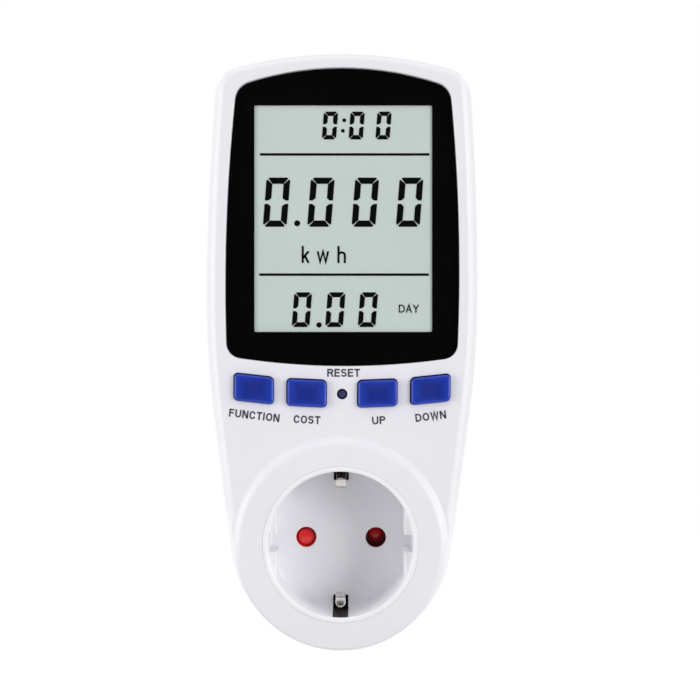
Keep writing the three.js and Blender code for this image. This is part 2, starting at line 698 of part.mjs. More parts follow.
/** The moulded bridge that locks both pins against the plug's face. */
function pinHolder() {
  const { r, halfLength, halfHeight, depths } = PIN_HOLDER;
  const past = [depths[0] - 1, depths[1] + 1];
  const bar = box([-halfLength, halfLength], past, [-halfHeight, halfHeight]);
  const body = overlap(rod(0, 0, r, depths, 40), bar);
  const bores = [-1, 1].map((side) => rod(side * OUTLET.pinX, 0, PIN.r + 0.2, past, 20));
  return cut(body, ...bores);
}

/** A flat bar from the neutral pin straight to the neutral contact. */
const neutralStrap = () => {
  const [halfWidth, halfSheet] = [2.2, 0.5];
  const depths = [CONTACT.rear + 0.1, PIN.root - 0.1];
  return box([-OUTLET.pinX - halfWidth, -OUTLET.pinX + halfWidth], depths, [-halfSheet, halfSheet]);
};

// ---------------------------------------------------------------- display and keys

const displayWindow = () =>
  loft([
    { y: DEPTH.frontFace + WINDOW.thickness, outline: windowOutline(0) },
    { y: DEPTH.frontFace + 0.25, outline: windowOutline(0) },
    { y: DEPTH.frontFace, outline: windowOutline(0.25) },
  ]);

const lcdSpan = (grow) => [LCD.x - LCD.halfWidth - grow, LCD.x + LCD.halfWidth + grow];

const lcdGlass = () => box(lcdSpan(0), [LCD.front, LCD.front + LCD.thickness], [LCD.bottomZ, LCD.topZ]);

/** The frame that squares the glass to the board, with a floor that backs the glass. */
function lcdHolder() {
  const boardSide = DISPLAY_BOARD.front - GAP;
  const floorFront = LCD.front + LCD.thickness + GAP;
  const height = (grow) => [LCD.bottomZ - grow, LCD.topZ + grow];
  const { rim, zebraHalfWidth, zebraTop, slotHalfWidth, slotBottom, slotTop } = HOLDER;
  const through = [LCD.front, boardSide + 1];
  const block = box(lcdSpan(rim), [LCD.front + 0.2, boardSide], height(rim));
  return cut(
    block,
    box(lcdSpan(GAP), [LCD.front - 1, floorFront], height(GAP)),
    box([-zebraHalfWidth, zebraHalfWidth], through, [LCD.bottomZ, LCD.bottomZ + zebraTop]),
    box([-slotHalfWidth, slotHalfWidth], through, [LCD.bottomZ + slotBottom, LCD.topZ - slotTop]),
  );
}

/** The rubber strip that carries the board's signals to the glass. */
const zebraStrip = () => {
  const depths = [LCD.front + LCD.thickness + 0.1, DISPLAY_BOARD.front - 0.1];
  return box([-ZEBRA.halfLength, ZEBRA.halfLength], depths, [ZEBRA.bottomZ, ZEBRA.topZ]);
};

function board({ halfWidth, bottomZ, topZ, front, thickness }, holes) {
  const blank = roundedRectangle(2 * halfWidth, topZ - bottomZ, 2);
  const outline = blank.map((p) => new THREE.Vector2(p.x, p.y + (topZ + bottomZ) / 2));
  return cut(plate(outline, [front, front + thickness]), ...holes);
}

function displayBoard() {
  const { front, thickness } = DISPLAY_BOARD;
  const through = [front - 1, front + thickness + 1];
  const holes = Object.values(BOARD_SCREWS).map(([x, z]) => rod(x, z, BOARD_BOSS.pilotR + 0.1, through, 12));
  return board(DISPLAY_BOARD, holes);
}

/** The epoxy blob over the controller, on the rear of the display board. */
function controllerBlob() {
  const [x, z, r, high, rings] = [4, 82, 4.6, 1.5, 5];
  const dome = [[0, 0]];
  for (let k = 0; k <= rings; k++) {
    const turn = (k / rings) * (Math.PI / 2);
    dome.push([k < rings ? r * Math.cos(turn) : 0, high * Math.sin(turn)]);
  }
  return turned(dome, 20).translate(x, DISPLAY_BOARD.front + DISPLAY_BOARD.thickness + 0.1, z);
}

/** One key about its own centre: a crowned cap, a flange behind the cover and a stem to its switch. */
function keyCap(x) {
  const { proud, crown, flange, cornerR } = KEYS;
  const face = -proud;
  const inner = SHELL.wall + 0.2;
  const cap = loft([
    { y: inner + 0.2, outline: keyOutline(x, 0) },
    { y: face + 0.6, outline: keyOutline(x, 0) },
    { y: face + 0.15, outline: keyOutline(x, -0.35) },
    { y: face, outline: keyOutline(x, -0.35 - crown) },
  ]);
  const rim = plate(keyOutline(x, cornerR), [inner, inner + flange]);
  return join(cap, rim);
}

/** The recessed reset pin, which is pressed with a pen's tip. */
function resetPin() {
  const inner = SHELL.wall + 0.2;
  return turned(
    [
      [0, RESET.recess],
      [RESET.r - 0.3, RESET.recess],
      [RESET.r, RESET.recess + 0.3],
      [RESET.r, inner],
      [RESET.flangeR, inner],
      [RESET.flangeR, inner + KEYS.flange],
      [0, inner + KEYS.flange],
    ],
    16,
  );
}

const SWITCH_FRONT = DISPLAY_BOARD.front - 0.1 - SWITCH.height;

/** A tactile switch about its key's centre line, with a bore for its plunger. */
function switchBody() {
  const half = SWITCH.size / 2;
  const front = SWITCH_FRONT;
  const body = box([-half, half], [front, front + SWITCH.height], [-half, half]);
  return cut(body, rod(0, 0, SWITCH.plungerRoom, [front - 1, front + SWITCH.height - SWITCH.boreFloor], 16));
}

/** A switch's plunger, short of its bore's floor by the key's travel. */
const plunger = () => {
  const rear = SWITCH_FRONT + SWITCH.height - SWITCH.boreFloor - KEYS.travel - 0.1;
  return rod(0, 0, SWITCH.plungerR, [SWITCH.plungerFront, rear], 16);
};

// ---------------------------------------------------------------- power board

const POWER_FRONT = POWER_BOARD.front - 0.1;

/** A box that stands on the power board. */
const onPowerBoard = ({ xs, zs, height }) => box(xs, [POWER_FRONT - height, POWER_FRONT], zs);

/** A can or disc that lies across the power board, its axis along X. */
function lyingOnPowerBoard({ r, length, x, z, lift = 0.1 }, sides) {
  const can = new THREE.CylinderGeometry(r, r, length, sides);
  return can.rotateZ(Math.PI / 2).translate(x, POWER_FRONT - r - lift, z);
}

/** An upright can with a crimped groove below its top. */
function electrolyticCapacitor() {
  const { x, z, r, height } = ELECTROLYTIC_CAPACITOR;
  const top = POWER_FRONT - height;
  const profile = [
    [0, top],
    [r - 0.4, top],
    [r, top + 0.4],
    [r, top + 1.2],
    [r - 0.25, top + 1.6],
    [r, top + 2],
    [r, POWER_FRONT],
    [0, POWER_FRONT],
  ];
  return turned(profile, 20).translate(x, 0, z);
}

/** The current shunt, a bridge of resistance alloy between the live wires' pads. */
function shuntResistor() {
  const { xs, zs, height, sheet } = SHUNT;
  const under = [POWER_FRONT - height + sheet, POWER_FRONT + 1];
  return cut(onPowerBoard(SHUNT), box([xs[0] + sheet, xs[1] - sheet], under, [zs[0] - 1, zs[1] + 1]));
}

/** The flat cable that joins the boards, bowed between them. */
const ribbonCable = () =>
  strip(
    [
      [DISPLAY_BOARD.front + DISPLAY_BOARD.thickness + 0.1, 66],
      [-45, 66.4],
      [-42, 68.4],
      [-40, 69],
      [-37, 68.4],
      [-34, 66.4],
      [POWER_FRONT, 66],
    ],
    0.7,
    8,
    12,
  );

const LIVE_WIRE = { r: 1.1, steps: 22 };

/** The live wire from the plug's pin up to the shunt. */
const liveWireIn = () =>
  wire(
    [
      [9.5, -10.6, 0],
      [9.5, -13, 0.4],
      [9.5, -17, 4],
      [8.5, -22, 9],
      [6.5, -26.4, 16],
      [4.4, -27.6, 26],
      [3.6, -28.2, 34],
      [3.6, -28.7, 39],
    ],
    LIVE_WIRE.r,
    LIVE_WIRE.steps,
  );

/** The live wire from the shunt back down to the outlet's contact. */
const liveWireOut = () =>
  wire(
    [
      [9.5, -20.7, 0],
      [9.5, -19.6, 0],
      [10.2, -18.4, 1.8],
      [11.5, -19.4, 5],
      [12.4, -23.4, 9.5],
      [12.6, -26.6, 16],
      [12, -27.6, 26],
      [11.4, -28.2, 34],
      [11.4, -28.7, 39],
    ],
    LIVE_WIRE.r,
    LIVE_WIRE.steps,
  );

// ---------------------------------------------------------------- materials

function material(color, roughness, metalness = 0) {
  return new THREE.MeshStandardMaterial({ color, roughness, metalness });
}

const MATERIALS = {
  shell: material(0xf0eff4, 0.35),
  insert: material(0xe6e5ea, 0.4),
  lens: material(0x060607, 0.08),
  glass: material(0xc4cfcb, 0.15),
  key: material(0x26329a, 0.45),
  shutter: material(0xc81e22, 0.4),
  nickel: material(0xc9c7c2, 0.25, 1),
  brass: material(0xc2a15a, 0.3, 1),
  steel: material(0x9a9da1, 0.3, 1),
  copper: material(0xb87348, 0.35, 1),
  carrier: material(0x2b2b2e, 0.6),
  holder: material(0xe9e9e4, 0.6),
  rubber: material(0x2a2d33, 0.85),
  board: material(0x1f5c34, 0.45),
  blackPlastic: material(0x151517, 0.5),
  film: material(0xd9a51d, 0.4),
  can: material(0x1d2a4c, 0.35),
  ceramic: material(0x2a62b0, 0.5),
  batteryWrap: material(0x3f8f4a, 0.4),
  cable: material(0xb9bcc2, 0.6),
  liveInsulation: material(0x7a3b1c, 0.5),
  label: material(0xd4d6da, 0.5),
};

// ---------------------------------------------------------------- assembly

const meter = new THREE.Group();

function add(name, geometry, look, [x, y, z] = [0, 0, 0]) {
  const mesh = new THREE.Mesh(geometry, look);
  mesh.name = name;
  mesh.position.set(x, y, z);
  meter.add(mesh);
}

add('front_cover', frontCover(), MATERIALS.shell);
add('rear_cover', rearCover(), MATERIALS.shell);
add('rating_label', ratingLabel(), MATERIALS.label);
add('display_window', displayWindow(), MATERIALS.lens);
add('lcd_glass', lcdGlass(), MATERIALS.glass);
add('lcd_holder', lcdHolder(), MATERIALS.holder);
add('zebra_strip', zebraStrip(), MATERIALS.rubber);
add('display_board', displayBoard(), MATERIALS.board);
add('controller_blob', controllerBlob(), MATERIALS.blackPlastic);

for (const [name, fromMiddle] of Object.entries(KEY_X)) {
  const kind = name.replace('_key', '');
  const [x, z] = [KEYS.rowX + fromMiddle, keyZ(fromMiddle)];
  add(name, keyCap(fromMiddle), MATERIALS.key, [x, DEPTH.frontFace, z]);
  add(`${kind}_switch`, switchBody(), MATERIALS.blackPlastic, [x, 0, z]);
  add(`${kind}_plunger`, plunger(), MATERIALS.holder, [x, 0, z]);
}
add('reset_key', resetPin(), MATERIALS.key, [KEYS.rowX, DEPTH.frontFace, KEYS.arcZ]);
add('reset_switch', switchBody(), MATERIALS.blackPlastic, [KEYS.rowX, 0, KEYS.arcZ]);
add('reset_plunger', plunger(), MATERIALS.holder, [KEYS.rowX, 0, KEYS.arcZ]);

add('socket_insert', socketInsert(), MATERIALS.insert);
add('shutter', shutter(), MATERIALS.shutter);
add('shutter_spring', shutterSpring(), MATERIALS.steel);
add('contact_carrier', contactCarrier(), MATERIALS.carrier);
add('neutral_contact', contact(-1), MATERIALS.brass);
add('live_contact', contact(1), MATERIALS.brass);
add('upper_earth_clip', earthClip(1), MATERIALS.nickel);
add('lower_earth_clip', earthClip(-1), MATERIALS.nickel);
add('upper_plug_earth', plugEarthContact(1), MATERIALS.nickel);
add('lower_plug_earth', plugEarthContact(-1), MATERIALS.nickel);
add('earth_bridge', earthBridge(), MATERIALS.brass);

add('neutral_pin', plugPin(-1), MATERIALS.nickel);
add('live_pin', plugPin(1), MATERIALS.nickel);
add('pin_holder', pinHolder(), MATERIALS.holder);
add('neutral_strap', neutralStrap(), MATERIALS.copper);
add('live_wire_in', liveWireIn(), MATERIALS.liveInsulation);
add('live_wire_out', liveWireOut(), MATERIALS.liveInsulation);

add('power_board', board(POWER_BOARD, []), MATERIALS.board);
add('film_capacitor', onPowerBoard(FILM_CAPACITOR), MATERIALS.film);
add('electrolytic_capacitor', electrolyticCapacitor(), MATERIALS.can);
add('varistor', lyingOnPowerBoard(VARISTOR, 20), MATERIALS.ceramic);
add('shunt_resistor', shuntResistor(), MATERIALS.copper);
add('metering_chip', onPowerBoard(METERING_CHIP), MATERIALS.blackPlastic);
add('crystal_can', lyingOnPowerBoard(CRYSTAL_CAN, 12), MATERIALS.steel);
add('backup_battery', lyingOnPowerBoard(BACKUP_BATTERY, 24), MATERIALS.batteryWrap);
add('ribbon_cable', ribbonCable(), MATERIALS.cable);

for (const [place, [x, z]] of Object.entries(CASE_SCREWS)) {
  add(`case_screw_${place}`, screw(CASE_SCREW), MATERIALS.steel, [x, SCREW_BOSS.seat + 0.1, z]);
}
const boardRear = DISPLAY_BOARD.front + DISPLAY_BOARD.thickness;
for (const [place, [x, z]] of Object.entries(BOARD_SCREWS)) {
  add(`board_screw_${place}`, screw(BOARD_SCREW), MATERIALS.steel, [x, boardRear + 0.1, z]);
}
for (const [place, [x, z]] of Object.entries(CARRIER_SCREWS)) {
  const seat = CARRIER.plateFront + CARRIER.plate + 0.1;
  add(`carrier_screw_${place}`, screw(CARRIER_SCREW), MATERIALS.steel, [x, seat, z]);
}

export default meter;
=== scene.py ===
"""Looks for a plug-in power meter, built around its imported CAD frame.

Pieces are shaped in millimetres in the part's own frame (+Z up, the front faces -Y, the plug and the outlet
on the Y axis) and are written to their meshes in metres.
"""

import json
import math

import bmesh
import bpy
from mathutils import Matrix, Vector


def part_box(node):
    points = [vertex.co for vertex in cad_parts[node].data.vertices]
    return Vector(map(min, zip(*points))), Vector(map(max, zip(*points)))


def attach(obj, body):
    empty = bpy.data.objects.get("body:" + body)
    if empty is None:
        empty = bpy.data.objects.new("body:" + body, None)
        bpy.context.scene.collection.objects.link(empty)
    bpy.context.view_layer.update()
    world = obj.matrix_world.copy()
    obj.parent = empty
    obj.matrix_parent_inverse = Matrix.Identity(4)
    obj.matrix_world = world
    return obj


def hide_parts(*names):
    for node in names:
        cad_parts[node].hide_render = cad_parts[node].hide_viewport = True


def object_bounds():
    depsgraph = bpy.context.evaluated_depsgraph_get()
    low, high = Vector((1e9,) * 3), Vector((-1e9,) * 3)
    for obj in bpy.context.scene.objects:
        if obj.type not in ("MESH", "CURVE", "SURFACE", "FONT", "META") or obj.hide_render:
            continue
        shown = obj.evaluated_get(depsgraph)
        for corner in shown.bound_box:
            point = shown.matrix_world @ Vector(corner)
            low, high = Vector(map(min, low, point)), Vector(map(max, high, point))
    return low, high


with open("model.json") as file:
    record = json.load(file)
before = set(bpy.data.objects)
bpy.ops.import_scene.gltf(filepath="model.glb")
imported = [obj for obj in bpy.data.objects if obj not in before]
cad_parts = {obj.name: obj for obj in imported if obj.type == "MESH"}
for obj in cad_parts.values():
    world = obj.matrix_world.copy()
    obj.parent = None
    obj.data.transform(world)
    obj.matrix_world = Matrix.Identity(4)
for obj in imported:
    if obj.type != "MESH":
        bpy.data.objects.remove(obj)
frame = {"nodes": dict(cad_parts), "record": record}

CAD_BOX = [list(corner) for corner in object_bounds()]
MM = 0.001

# ---- sizes, in millimetres


def lowest(node):
    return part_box(node)[0] / MM


def highest(node):
    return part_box(node)[1] / MM


def middle(node):
    """The (x, z) middle of a node's box."""
    low, high = lowest(node), highest(node)
    return (low.x + high.x) / 2, (low.z + high.z) / 2


GAP = 0.3  # between CAD parts that touch
SEAM = 0.12  # what shows of such a gap between two mouldings
AXIS_R = 1e-3  # turned profiles end this close to their axis

RIM_Y = lowest("front_cover").y
FRONT_Y = lowest("display_window").y
PARTING_Y = highest("front_cover").y + GAP / 2
PLUG_Y = highest("rear_cover").y
PLUG_DEPTH = 19
REAR_Y = PLUG_Y - PLUG_DEPTH
WALL = 2
FRONT_DRAFT = 0.14
REAR_DRAFT = 0.1
FRONT_FILLET = 2
REAR_FILLET = 3.2

BODY_TOP_Z = highest("front_cover").z
BODY_HALF_WIDTH = highest("front_cover").x
BODY_WIDEST_Z = 66
BODY_BOTTOM_R = -lowest("front_cover").z
BODY_HIP_R = 252
BODY_FLANK_R = 727
BODY_CORNER_R = 8
BODY_ARCH_R = 112

WINDOW_X = 0.12  # how far the window sits right of the middle
WINDOW_TOP_Z = highest("display_window").z + 0.05
WINDOW_BOTTOM_Z = lowest("display_window").z - 0.12
WINDOW_HALF_WIDTH = highest("display_window").x + 0.06
WINDOW_REAR_Y = highest("display_window").y
WINDOW_WIDEST_Z = 70
WINDOW_SILL_R = 190
WINDOW_FLANK_R = 480
WINDOW_ARCH_R = 82
WINDOW_LOWER_CORNER_R = 4
WINDOW_UPPER_CORNER_R = 5
VIEW_X = (-23.19, 23.7)  # the clear opening in the window's black border
VIEW_Z = (55.85, 115.61)
VIEW_TILT = math.radians(0.27)  # the display sits a touch askew in the cover
PRINT = 0.12  # the border's thickness
WINDOW_LEDGE = 2.2  # the width of the rim that the window rests on

WELL_R = 19.15
CUP_R = 20.35
WELL_FLOOR_Y = -40.6
WELL_FLOOR = 1.1
SHUTTER_Y = WELL_FLOOR_Y + WELL_FLOOR + GAP
GUIDE_X = 16.85
NOTCH_WIDTH = 4.6
SEAM_R = CUP_R + GAP / 2  # the middle of the gap round the outlet
OUTLET_SEAM = 0.04  # what shows of that gap
EARTH_SLOT = {"half": 2.07, "inner": 15.6, "outer": 21}

# The ring round the outlet, first along its top and sides and then at its bottom.
BOSS_FLAT_R = (25.6, 27)
BOSS_EDGE_R = (2.9, 0.85)
BOSS_STEEP = (math.radians(40), math.radians(70))

PLUG_R = 18.6
PLUG_FLAT_X = 16.2
PLUG_HOLLOW_R = 15.5
PLUG_HOLLOW_X = 14.2
PLUG_RIB = 4
PLUG_EARTH_Z = 17.5
PLUG_WINDOW = {"half": 2.5, "inner": 15, "outer": 22, "wall": 2.6}  # one for each earth contact
PIN_X = 9.5
PIN_R = 2.4
PIN_HOLE_R = 2.75
PIN_COLLAR_R = 3.8

SCREW_PLACES = ("upper_left", "upper_right", "lower_left", "lower_right")
SCREW_BORE_R = 3.1
SCREW_TOWER_R = 4
SCREW_SEAT_Y = -31

KEY_ROW_X = 0.2
KEY_SHIFT = 0.06  # how far each key sits right of its node's middle
KEY_ARC_R = 215
KEY_ARC_Z = 39.5
KEY_WIDTH = 10.2
KEY_HEIGHT = 6.95
KEY_CORNER_R = 1
KEY_FLANGE = 1
KEY_EDGE = 0.8
KEY_EDGE_DROP = 0.45
KEY_DISH = 2.2
KEY_DISH_DEPTH = 0.12
KEY_SLOT = 0.22  # a slot's clearance round its key
KEY_SLOT_X, KEY_SLOT_Z = -0.11, 0.12  # how far the slots sit from the keys' middles
KEY_NAMES = ("function", "cost", "up", "down")
RESET_HOLE = (KEY_ROW_X, KEY_ARC_Z)
RESET_HOLE_R = 1.4

DIGIT_SLANT = math.radians(4.15)
LETTER_SPACING = 0.13
LETTER_WIDTHS = {"I": 0.2, "F": 0.56, "E": 0.6, "T": 0.62, "S": 0.64, "P": 0.62, "W": 0.92, "O": 0.72}
PLAIN_LETTER_WIDTH = 0.68

# ---- meshes


def make_object(name, data):
    made = bpy.data.objects.new(name, data)
    bpy.context.scene.collection.objects.link(made)
    return made


def make_piece(name, vertices, faces, merge=True):
    """A closed mesh object from millimetre vertices, with its faces turned outwards."""
    mesh = bpy.data.meshes.new(name)
    mesh.from_pydata([tuple(c * MM for c in v) for v in vertices], [], faces)
    work = bmesh.new()
    work.from_mesh(mesh)
    if merge:
        bmesh.ops.remove_doubles(work, verts=work.verts, dist=1e-7)
    bmesh.ops.recalc_face_normals(work, faces=work.faces)
    work.to_mesh(mesh)
    work.free()
    return make_object(name, mesh)


def skin(name, rings):
    """A solid through rings that have equally many (x, y, z) points, with its two ends closed."""
    count = len(rings[0])
    vertices = [point for ring in rings for point in ring]
    faces = []
    for ring in range(len(rings) - 1):
        for i in range(count):
            a, b = ring * count + i, ring * count + (i + 1) % count
            faces.append((a, b, b + count, a + count))
    faces.append(tuple(range(count)))
    faces.append(tuple(range(len(vertices) - 1, len(vertices) - count - 1, -1)))
    return make_piece(name, vertices, faces)


def loft(name, rings):
    """A solid through (depth, outline) rings whose outlines have equally many (x, z) points."""
    return skin(name, [[(x, y, z) for x, z in outline] for y, outline in rings])


def arc(x, z, rx, rz, start, end, steps=10):
    """Points along part of an ellipse, between two turns in degrees."""
    turns = (math.radians(start + (end - start) * k / steps) for k in range(steps + 1))
    return [(x + rx * math.cos(t), z + rz * math.sin(t)) for t in turns]


def circle(x, z, r, sides):
    return arc(x, z, r, r, 0, 360, sides)[:-1]


def turned(name, profile, sides, centre=(0, 0)):
    """A solid turned about a line along Y, from (radius, depth) points that start and end on the axis."""
    return loft(name, [(y, circle(*centre, r, sides)) for r, y in profile])


def cylinder(name, r, start, end, sides, centre=(0, 0)):
    return turned(name, [(AXIS_R, start), (r, start), (r, end), (AXIS_R, end)], sides, centre)


def block(name, xs, ys, zs, radius=0.0, segments=3):
    """A box, with round edges where a radius is given."""
    work = bmesh.new()
    bmesh.ops.create_cube(work, size=1)
    for v in work.verts:
        v.co = [low + (high - low) * (c + 0.5) for (low, high), c in zip((xs, ys, zs), v.co)]
    if radius:
        edges = work.edges[:]
        bmesh.ops.bevel(work, geom=edges, offset=radius, segments=segments, affect="EDGES", profile=0.5)
    mesh = bpy.data.meshes.new(name)
    work.transform(Matrix.Scale(MM, 4))
    bmesh.ops.recalc_face_normals(work, faces=work.faces)
    work.to_mesh(mesh)
    work.free()
    return make_object(name, mesh)


def combine(piece, operation, tools):
    """Applies one boolean for each tool."""
    for tool in tools:
        step = piece.modifiers.new("step", "BOOLEAN")
        step.operation, step.object, step.solver = operation, tool, "MANIFOLD"
    graph = bpy.context.evaluated_depsgraph_get()
    graph.update()
    done = bpy.data.meshes.new_from_object(piece.evaluated_get(graph))
    piece.modifiers.clear()
    old, piece.data = piece.data, done
    bpy.data.meshes.remove(old)
    done.name = piece.name
    for tool in tools:
        bpy.data.objects.remove(tool)
    return piece


def cut(piece, *tools):
    return combine(piece, "DIFFERENCE", tools)


def join(piece, *tools):
    return combine(piece, "UNION", tools)


def overlap(piece, *tools):
    return combine(piece, "INTERSECT", tools)


def smooth(piece, degrees, weighted):
    """Smooth shading that keeps edges sharper than the angle, with flat faces kept flat."""
    work = bmesh.new()
    work.from_mesh(piece.data)
    if weighted:
        bmesh.ops.remove_doubles(work, verts=work.verts, dist=2e-7)
        bmesh.ops.dissolve_degenerate(work, edges=work.edges[:], dist=2e-7)
    for face in work.faces:
        face.smooth = True
    for edge in work.edges:
        edge.smooth = len(edge.link_faces) == 2 and edge.calc_face_angle(0) < math.radians(degrees)
    work.to_mesh(piece.data)
    work.free()
    if weighted:
        normals = piece.modifiers.new("flat_faces", "WEIGHTED_NORMAL")
        normals.keep_sharp = True
        normals.weight = 60


def finish_piece(piece, slot, *nodes, degrees=40, body="housing", material=None, weighted=True):
    """Dresses a piece in a material, its slot's own unless one is named, and ties it to the frame."""
    piece.data.materials.clear()
    piece.data.materials.append(MATERIALS[material or slot])
    smooth(piece, degrees, weighted)
    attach(piece, body)
    if nodes:
        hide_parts(*nodes)


# ---- outlines


def rounding(radius, steps):
    """(in, down) along a rounded edge, from (0, radius) at its side to (radius, 0) at its face."""
    turns = (k / steps * math.pi / 2 for k in range(steps + 1))
    return [(radius * (1 - math.cos(t)), radius * (1 - math.sin(t))) for t in turns]


def nestled(a, b, r):
    """The circle of radius r inside circles a and b, touching both at their right-hand crossing."""
    from_a, from_b = a[2] - r, b[2] - r
    dx, dz = b[0] - a[0], b[1] - a[1]
    apart = math.hypot(dx, dz)
    along = (from_a**2 - from_b**2 + apart**2) / (2 * apart)
    aside = math.sqrt(from_a**2 - along**2)
    crossings = [
        (a[0] + (dx * along - s * dz * aside) / apart, a[1] + (dz * along + s * dx * aside) / apart)
        for s in (1, -1)
    ]
    x, z = max(crossings)
    return x, z, r


def rolled_outline(circles, steps, inset):
    """A closed outline, symmetric about x = 0, that rolls over the circles of its right half."""
    turns = [-math.pi / 2]
    for a, b in zip(circles, circles[1:]):
        dx, dz = b[0] - a[0], b[1] - a[1]
        reach = max(-1.0, min(1.0, (a[2] - b[2]) / math.hypot(dx, dz)))
        turn = math.atan2(dz, dx) - math.acos(reach)
        turns.append(turn + 2 * math.pi if turn < -math.pi / 2 else turn)
    turns.append(math.pi / 2)
    right = []
    for i, (x, z, r) in enumerate(circles):
        for k in range(steps[i] + (i == len(circles) - 1)):
            turn = turns[i] + (turns[i + 1] - turns[i]) * k / steps[i]
            right.append((x + (r - inset) * math.cos(turn), z + (r - inset) * math.sin(turn)))
    right[0] = (0.0, right[0][1])
    right[-1] = (0.0, right[-1][1])
    return right + [(-x, z) for x, z in reversed(right[1:-1])]


def body_outline(inset):
    bottom = (0, 0, BODY_BOTTOM_R)
    hip = (BODY_HALF_WIDTH - BODY_HIP_R, BODY_WIDEST_Z, BODY_HIP_R)
    flank = (BODY_HALF_WIDTH - BODY_FLANK_R, BODY_WIDEST_Z, BODY_FLANK_R)
    arch = (0, BODY_TOP_Z - BODY_ARCH_R, BODY_ARCH_R)
    circles = [bottom, hip, flank, nestled(flank, arch, BODY_CORNER_R), arch]
    return rolled_outline(circles, (40, 16, 12, 16, 16), inset)


def window_outline(inset):
    sill = (0, WINDOW_BOTTOM_Z + WINDOW_SILL_R, WINDOW_SILL_R)
    flank = (WINDOW_HALF_WIDTH - WINDOW_FLANK_R, WINDOW_WIDEST_Z, WINDOW_FLANK_R)
    arch = (0, WINDOW_TOP_Z - WINDOW_ARCH_R, WINDOW_ARCH_R)
    lower = nestled(sill, flank, WINDOW_LOWER_CORNER_R)
    upper = nestled(flank, arch, WINDOW_UPPER_CORNER_R)
    outline = rolled_outline([sill, lower, flank, upper, arch], (16, 12, 20, 12, 16), inset)
    return [(x + WINDOW_X, z) for x, z in outline]


def rounded_rectangle(width, height, r, steps=8):
    points = []
    for i, (sx, sz) in enumerate(((1, 1), (-1, 1), (-1, -1), (1, -1))):
        points += arc(sx * (width / 2 - r), sz * (height / 2 - r), r, r, 90 * i, 90 * (i + 1), steps)
    return points


def key_centre(name):
    x = middle(f"{name}_key")[0] + KEY_SHIFT
    return x, KEY_ARC_Z + (x - KEY_ROW_X) ** 2 / (2 * KEY_ARC_R)


def key_outline(x, z, grow):
    """Upright sides, with the top and bottom along the keys' arc."""
    corner_r = max(KEY_CORNER_R + grow, 0.15)
    square = rounded_rectangle(KEY_WIDTH + 2 * grow, KEY_HEIGHT + 2 * grow, corner_r)
    slope = (x - KEY_ROW_X) / KEY_ARC_R
    return [(x + px, z + pz + px * slope) for px, pz in square]


def flared_cutter(name, outline, face_y, floor_y, lip, out=-1):
    """A cutter for an opening whose mouth at face_y is rounded by lip; outline(grow) gives its section."""
    rings = [(floor_y, outline(0))]
    rings += [(face_y - out * down, outline(aside)) for aside, down in rounding(lip, 4)]
    return loft(name, rings + [(face_y + out * 3, outline(lip))])


def shell_rings(face_y, draft, fillet, start_y):
    """The drafted outside of a half shell, rounded at its seam edge and at its face."""
    towards = math.copysign(1, face_y - PARTING_Y)
    lean, edge = math.atan(draft), 0.25

    def inset_at(y):
        return draft * abs(y - PARTING_Y)

    rings = []
    for along, aside in rounding(edge, 3):
        y = start_y + towards * along
        rings.append((y, body_outline(inset_at(y) + aside)))
    tangent_y = face_y - towards * fillet * (1 - math.sin(lean))
    for k in range(1, 4):
        y = start_y + (tangent_y - start_y) * k / 4
        rings.append((y, body_outline(inset_at(y))))
    centre_inset = inset_at(tangent_y) + fillet * math.cos(lean)
    for out, up in arc(0, 0, fillet, fillet, math.degrees(lean), 90):
        rings.append((face_y - towards * (fillet - up), body_outline(centre_inset - out)))
    return rings


def shell_room(face_y, draft):
    towards = math.copysign(1, face_y - PARTING_Y)
    end = face_y - towards * WALL
    rings = [(PARTING_Y - towards, body_outline(WALL))]
    for k in range(5):
        y = PARTING_Y + (end - PARTING_Y) * k / 4
        rings.append((y, body_outline(WALL + draft * abs(y - PARTING_Y))))
    return loft("room", rings)


# ---- material nodes


def new_material(name):
    material = bpy.data.materials.new(name)
    material.use_nodes = True
    shader = material.node_tree.nodes["Principled BSDF"]
    return material, material.node_tree, shader


def feed(tree, node, inputs):
    """Fills a node's inputs, each with a constant or with another node's output."""
    for name, value in inputs.items():
        if isinstance(value, bpy.types.NodeSocket):
            tree.links.new(value, node.inputs[name])
        else:
            node.inputs[name].default_value = value
    return node


def add_node(tree, kind, inputs):
    return feed(tree, tree.nodes.new(f"ShaderNode{kind}"), inputs)


def coordinates(tree, kind):
    return add_node(tree, "TexCoord", {}).outputs[kind]


def one_axis(tree, vector, axis):
    return add_node(tree, "SeparateXYZ", {"Vector": vector}).outputs[axis]


def calculate(tree, operation, *values, kind="Math"):
    """The result of a maths node, whose values are constants or other nodes' outputs."""
    node = tree.nodes.new(f"ShaderNode{kind}")
    node.operation = operation
    return feed(tree, node, dict(enumerate(values))).outputs["Value"]


def noise(tree, scale, detail, roughness=0.55, stretch=(1, 1, 1)):
    """Noise in object space, with scale in features per millimetre."""
    mapping = add_node(tree, "Mapping", {"Vector": coordinates(tree, "Object"), "Scale": stretch})
    inputs = {"Scale": scale / MM, "Detail": detail, "Roughness": roughness}
    return add_node(tree, "TexNoise", {"Vector": mapping.outputs["Vector"], **inputs}).outputs["Fac"]


def spread(tree, value, out_low, out_high, low=0.3, high=0.7):
    """A value from low to high, by default most of a noise's range, as one from out_low to out_high."""
    inputs = {"Value": value, "From Min": low, "From Max": high, "To Min": out_low, "To Max": out_high}
    return add_node(tree, "MapRange", inputs).outputs["Result"]


def blend_colours(tree, value, dark, light):
    node = tree.nodes.new("ShaderNodeMix")
    node.data_type = "RGBA"
    return feed(tree, node, {"Factor": value, "A": (*dark, 1), "B": (*light, 1)}).outputs["Result"]


def bumps(tree, height, strength, distance):
    inputs = {"Strength": strength, "Distance": distance * MM, "Height": height}
    return add_node(tree, "Bump", inputs).outputs["Normal"]


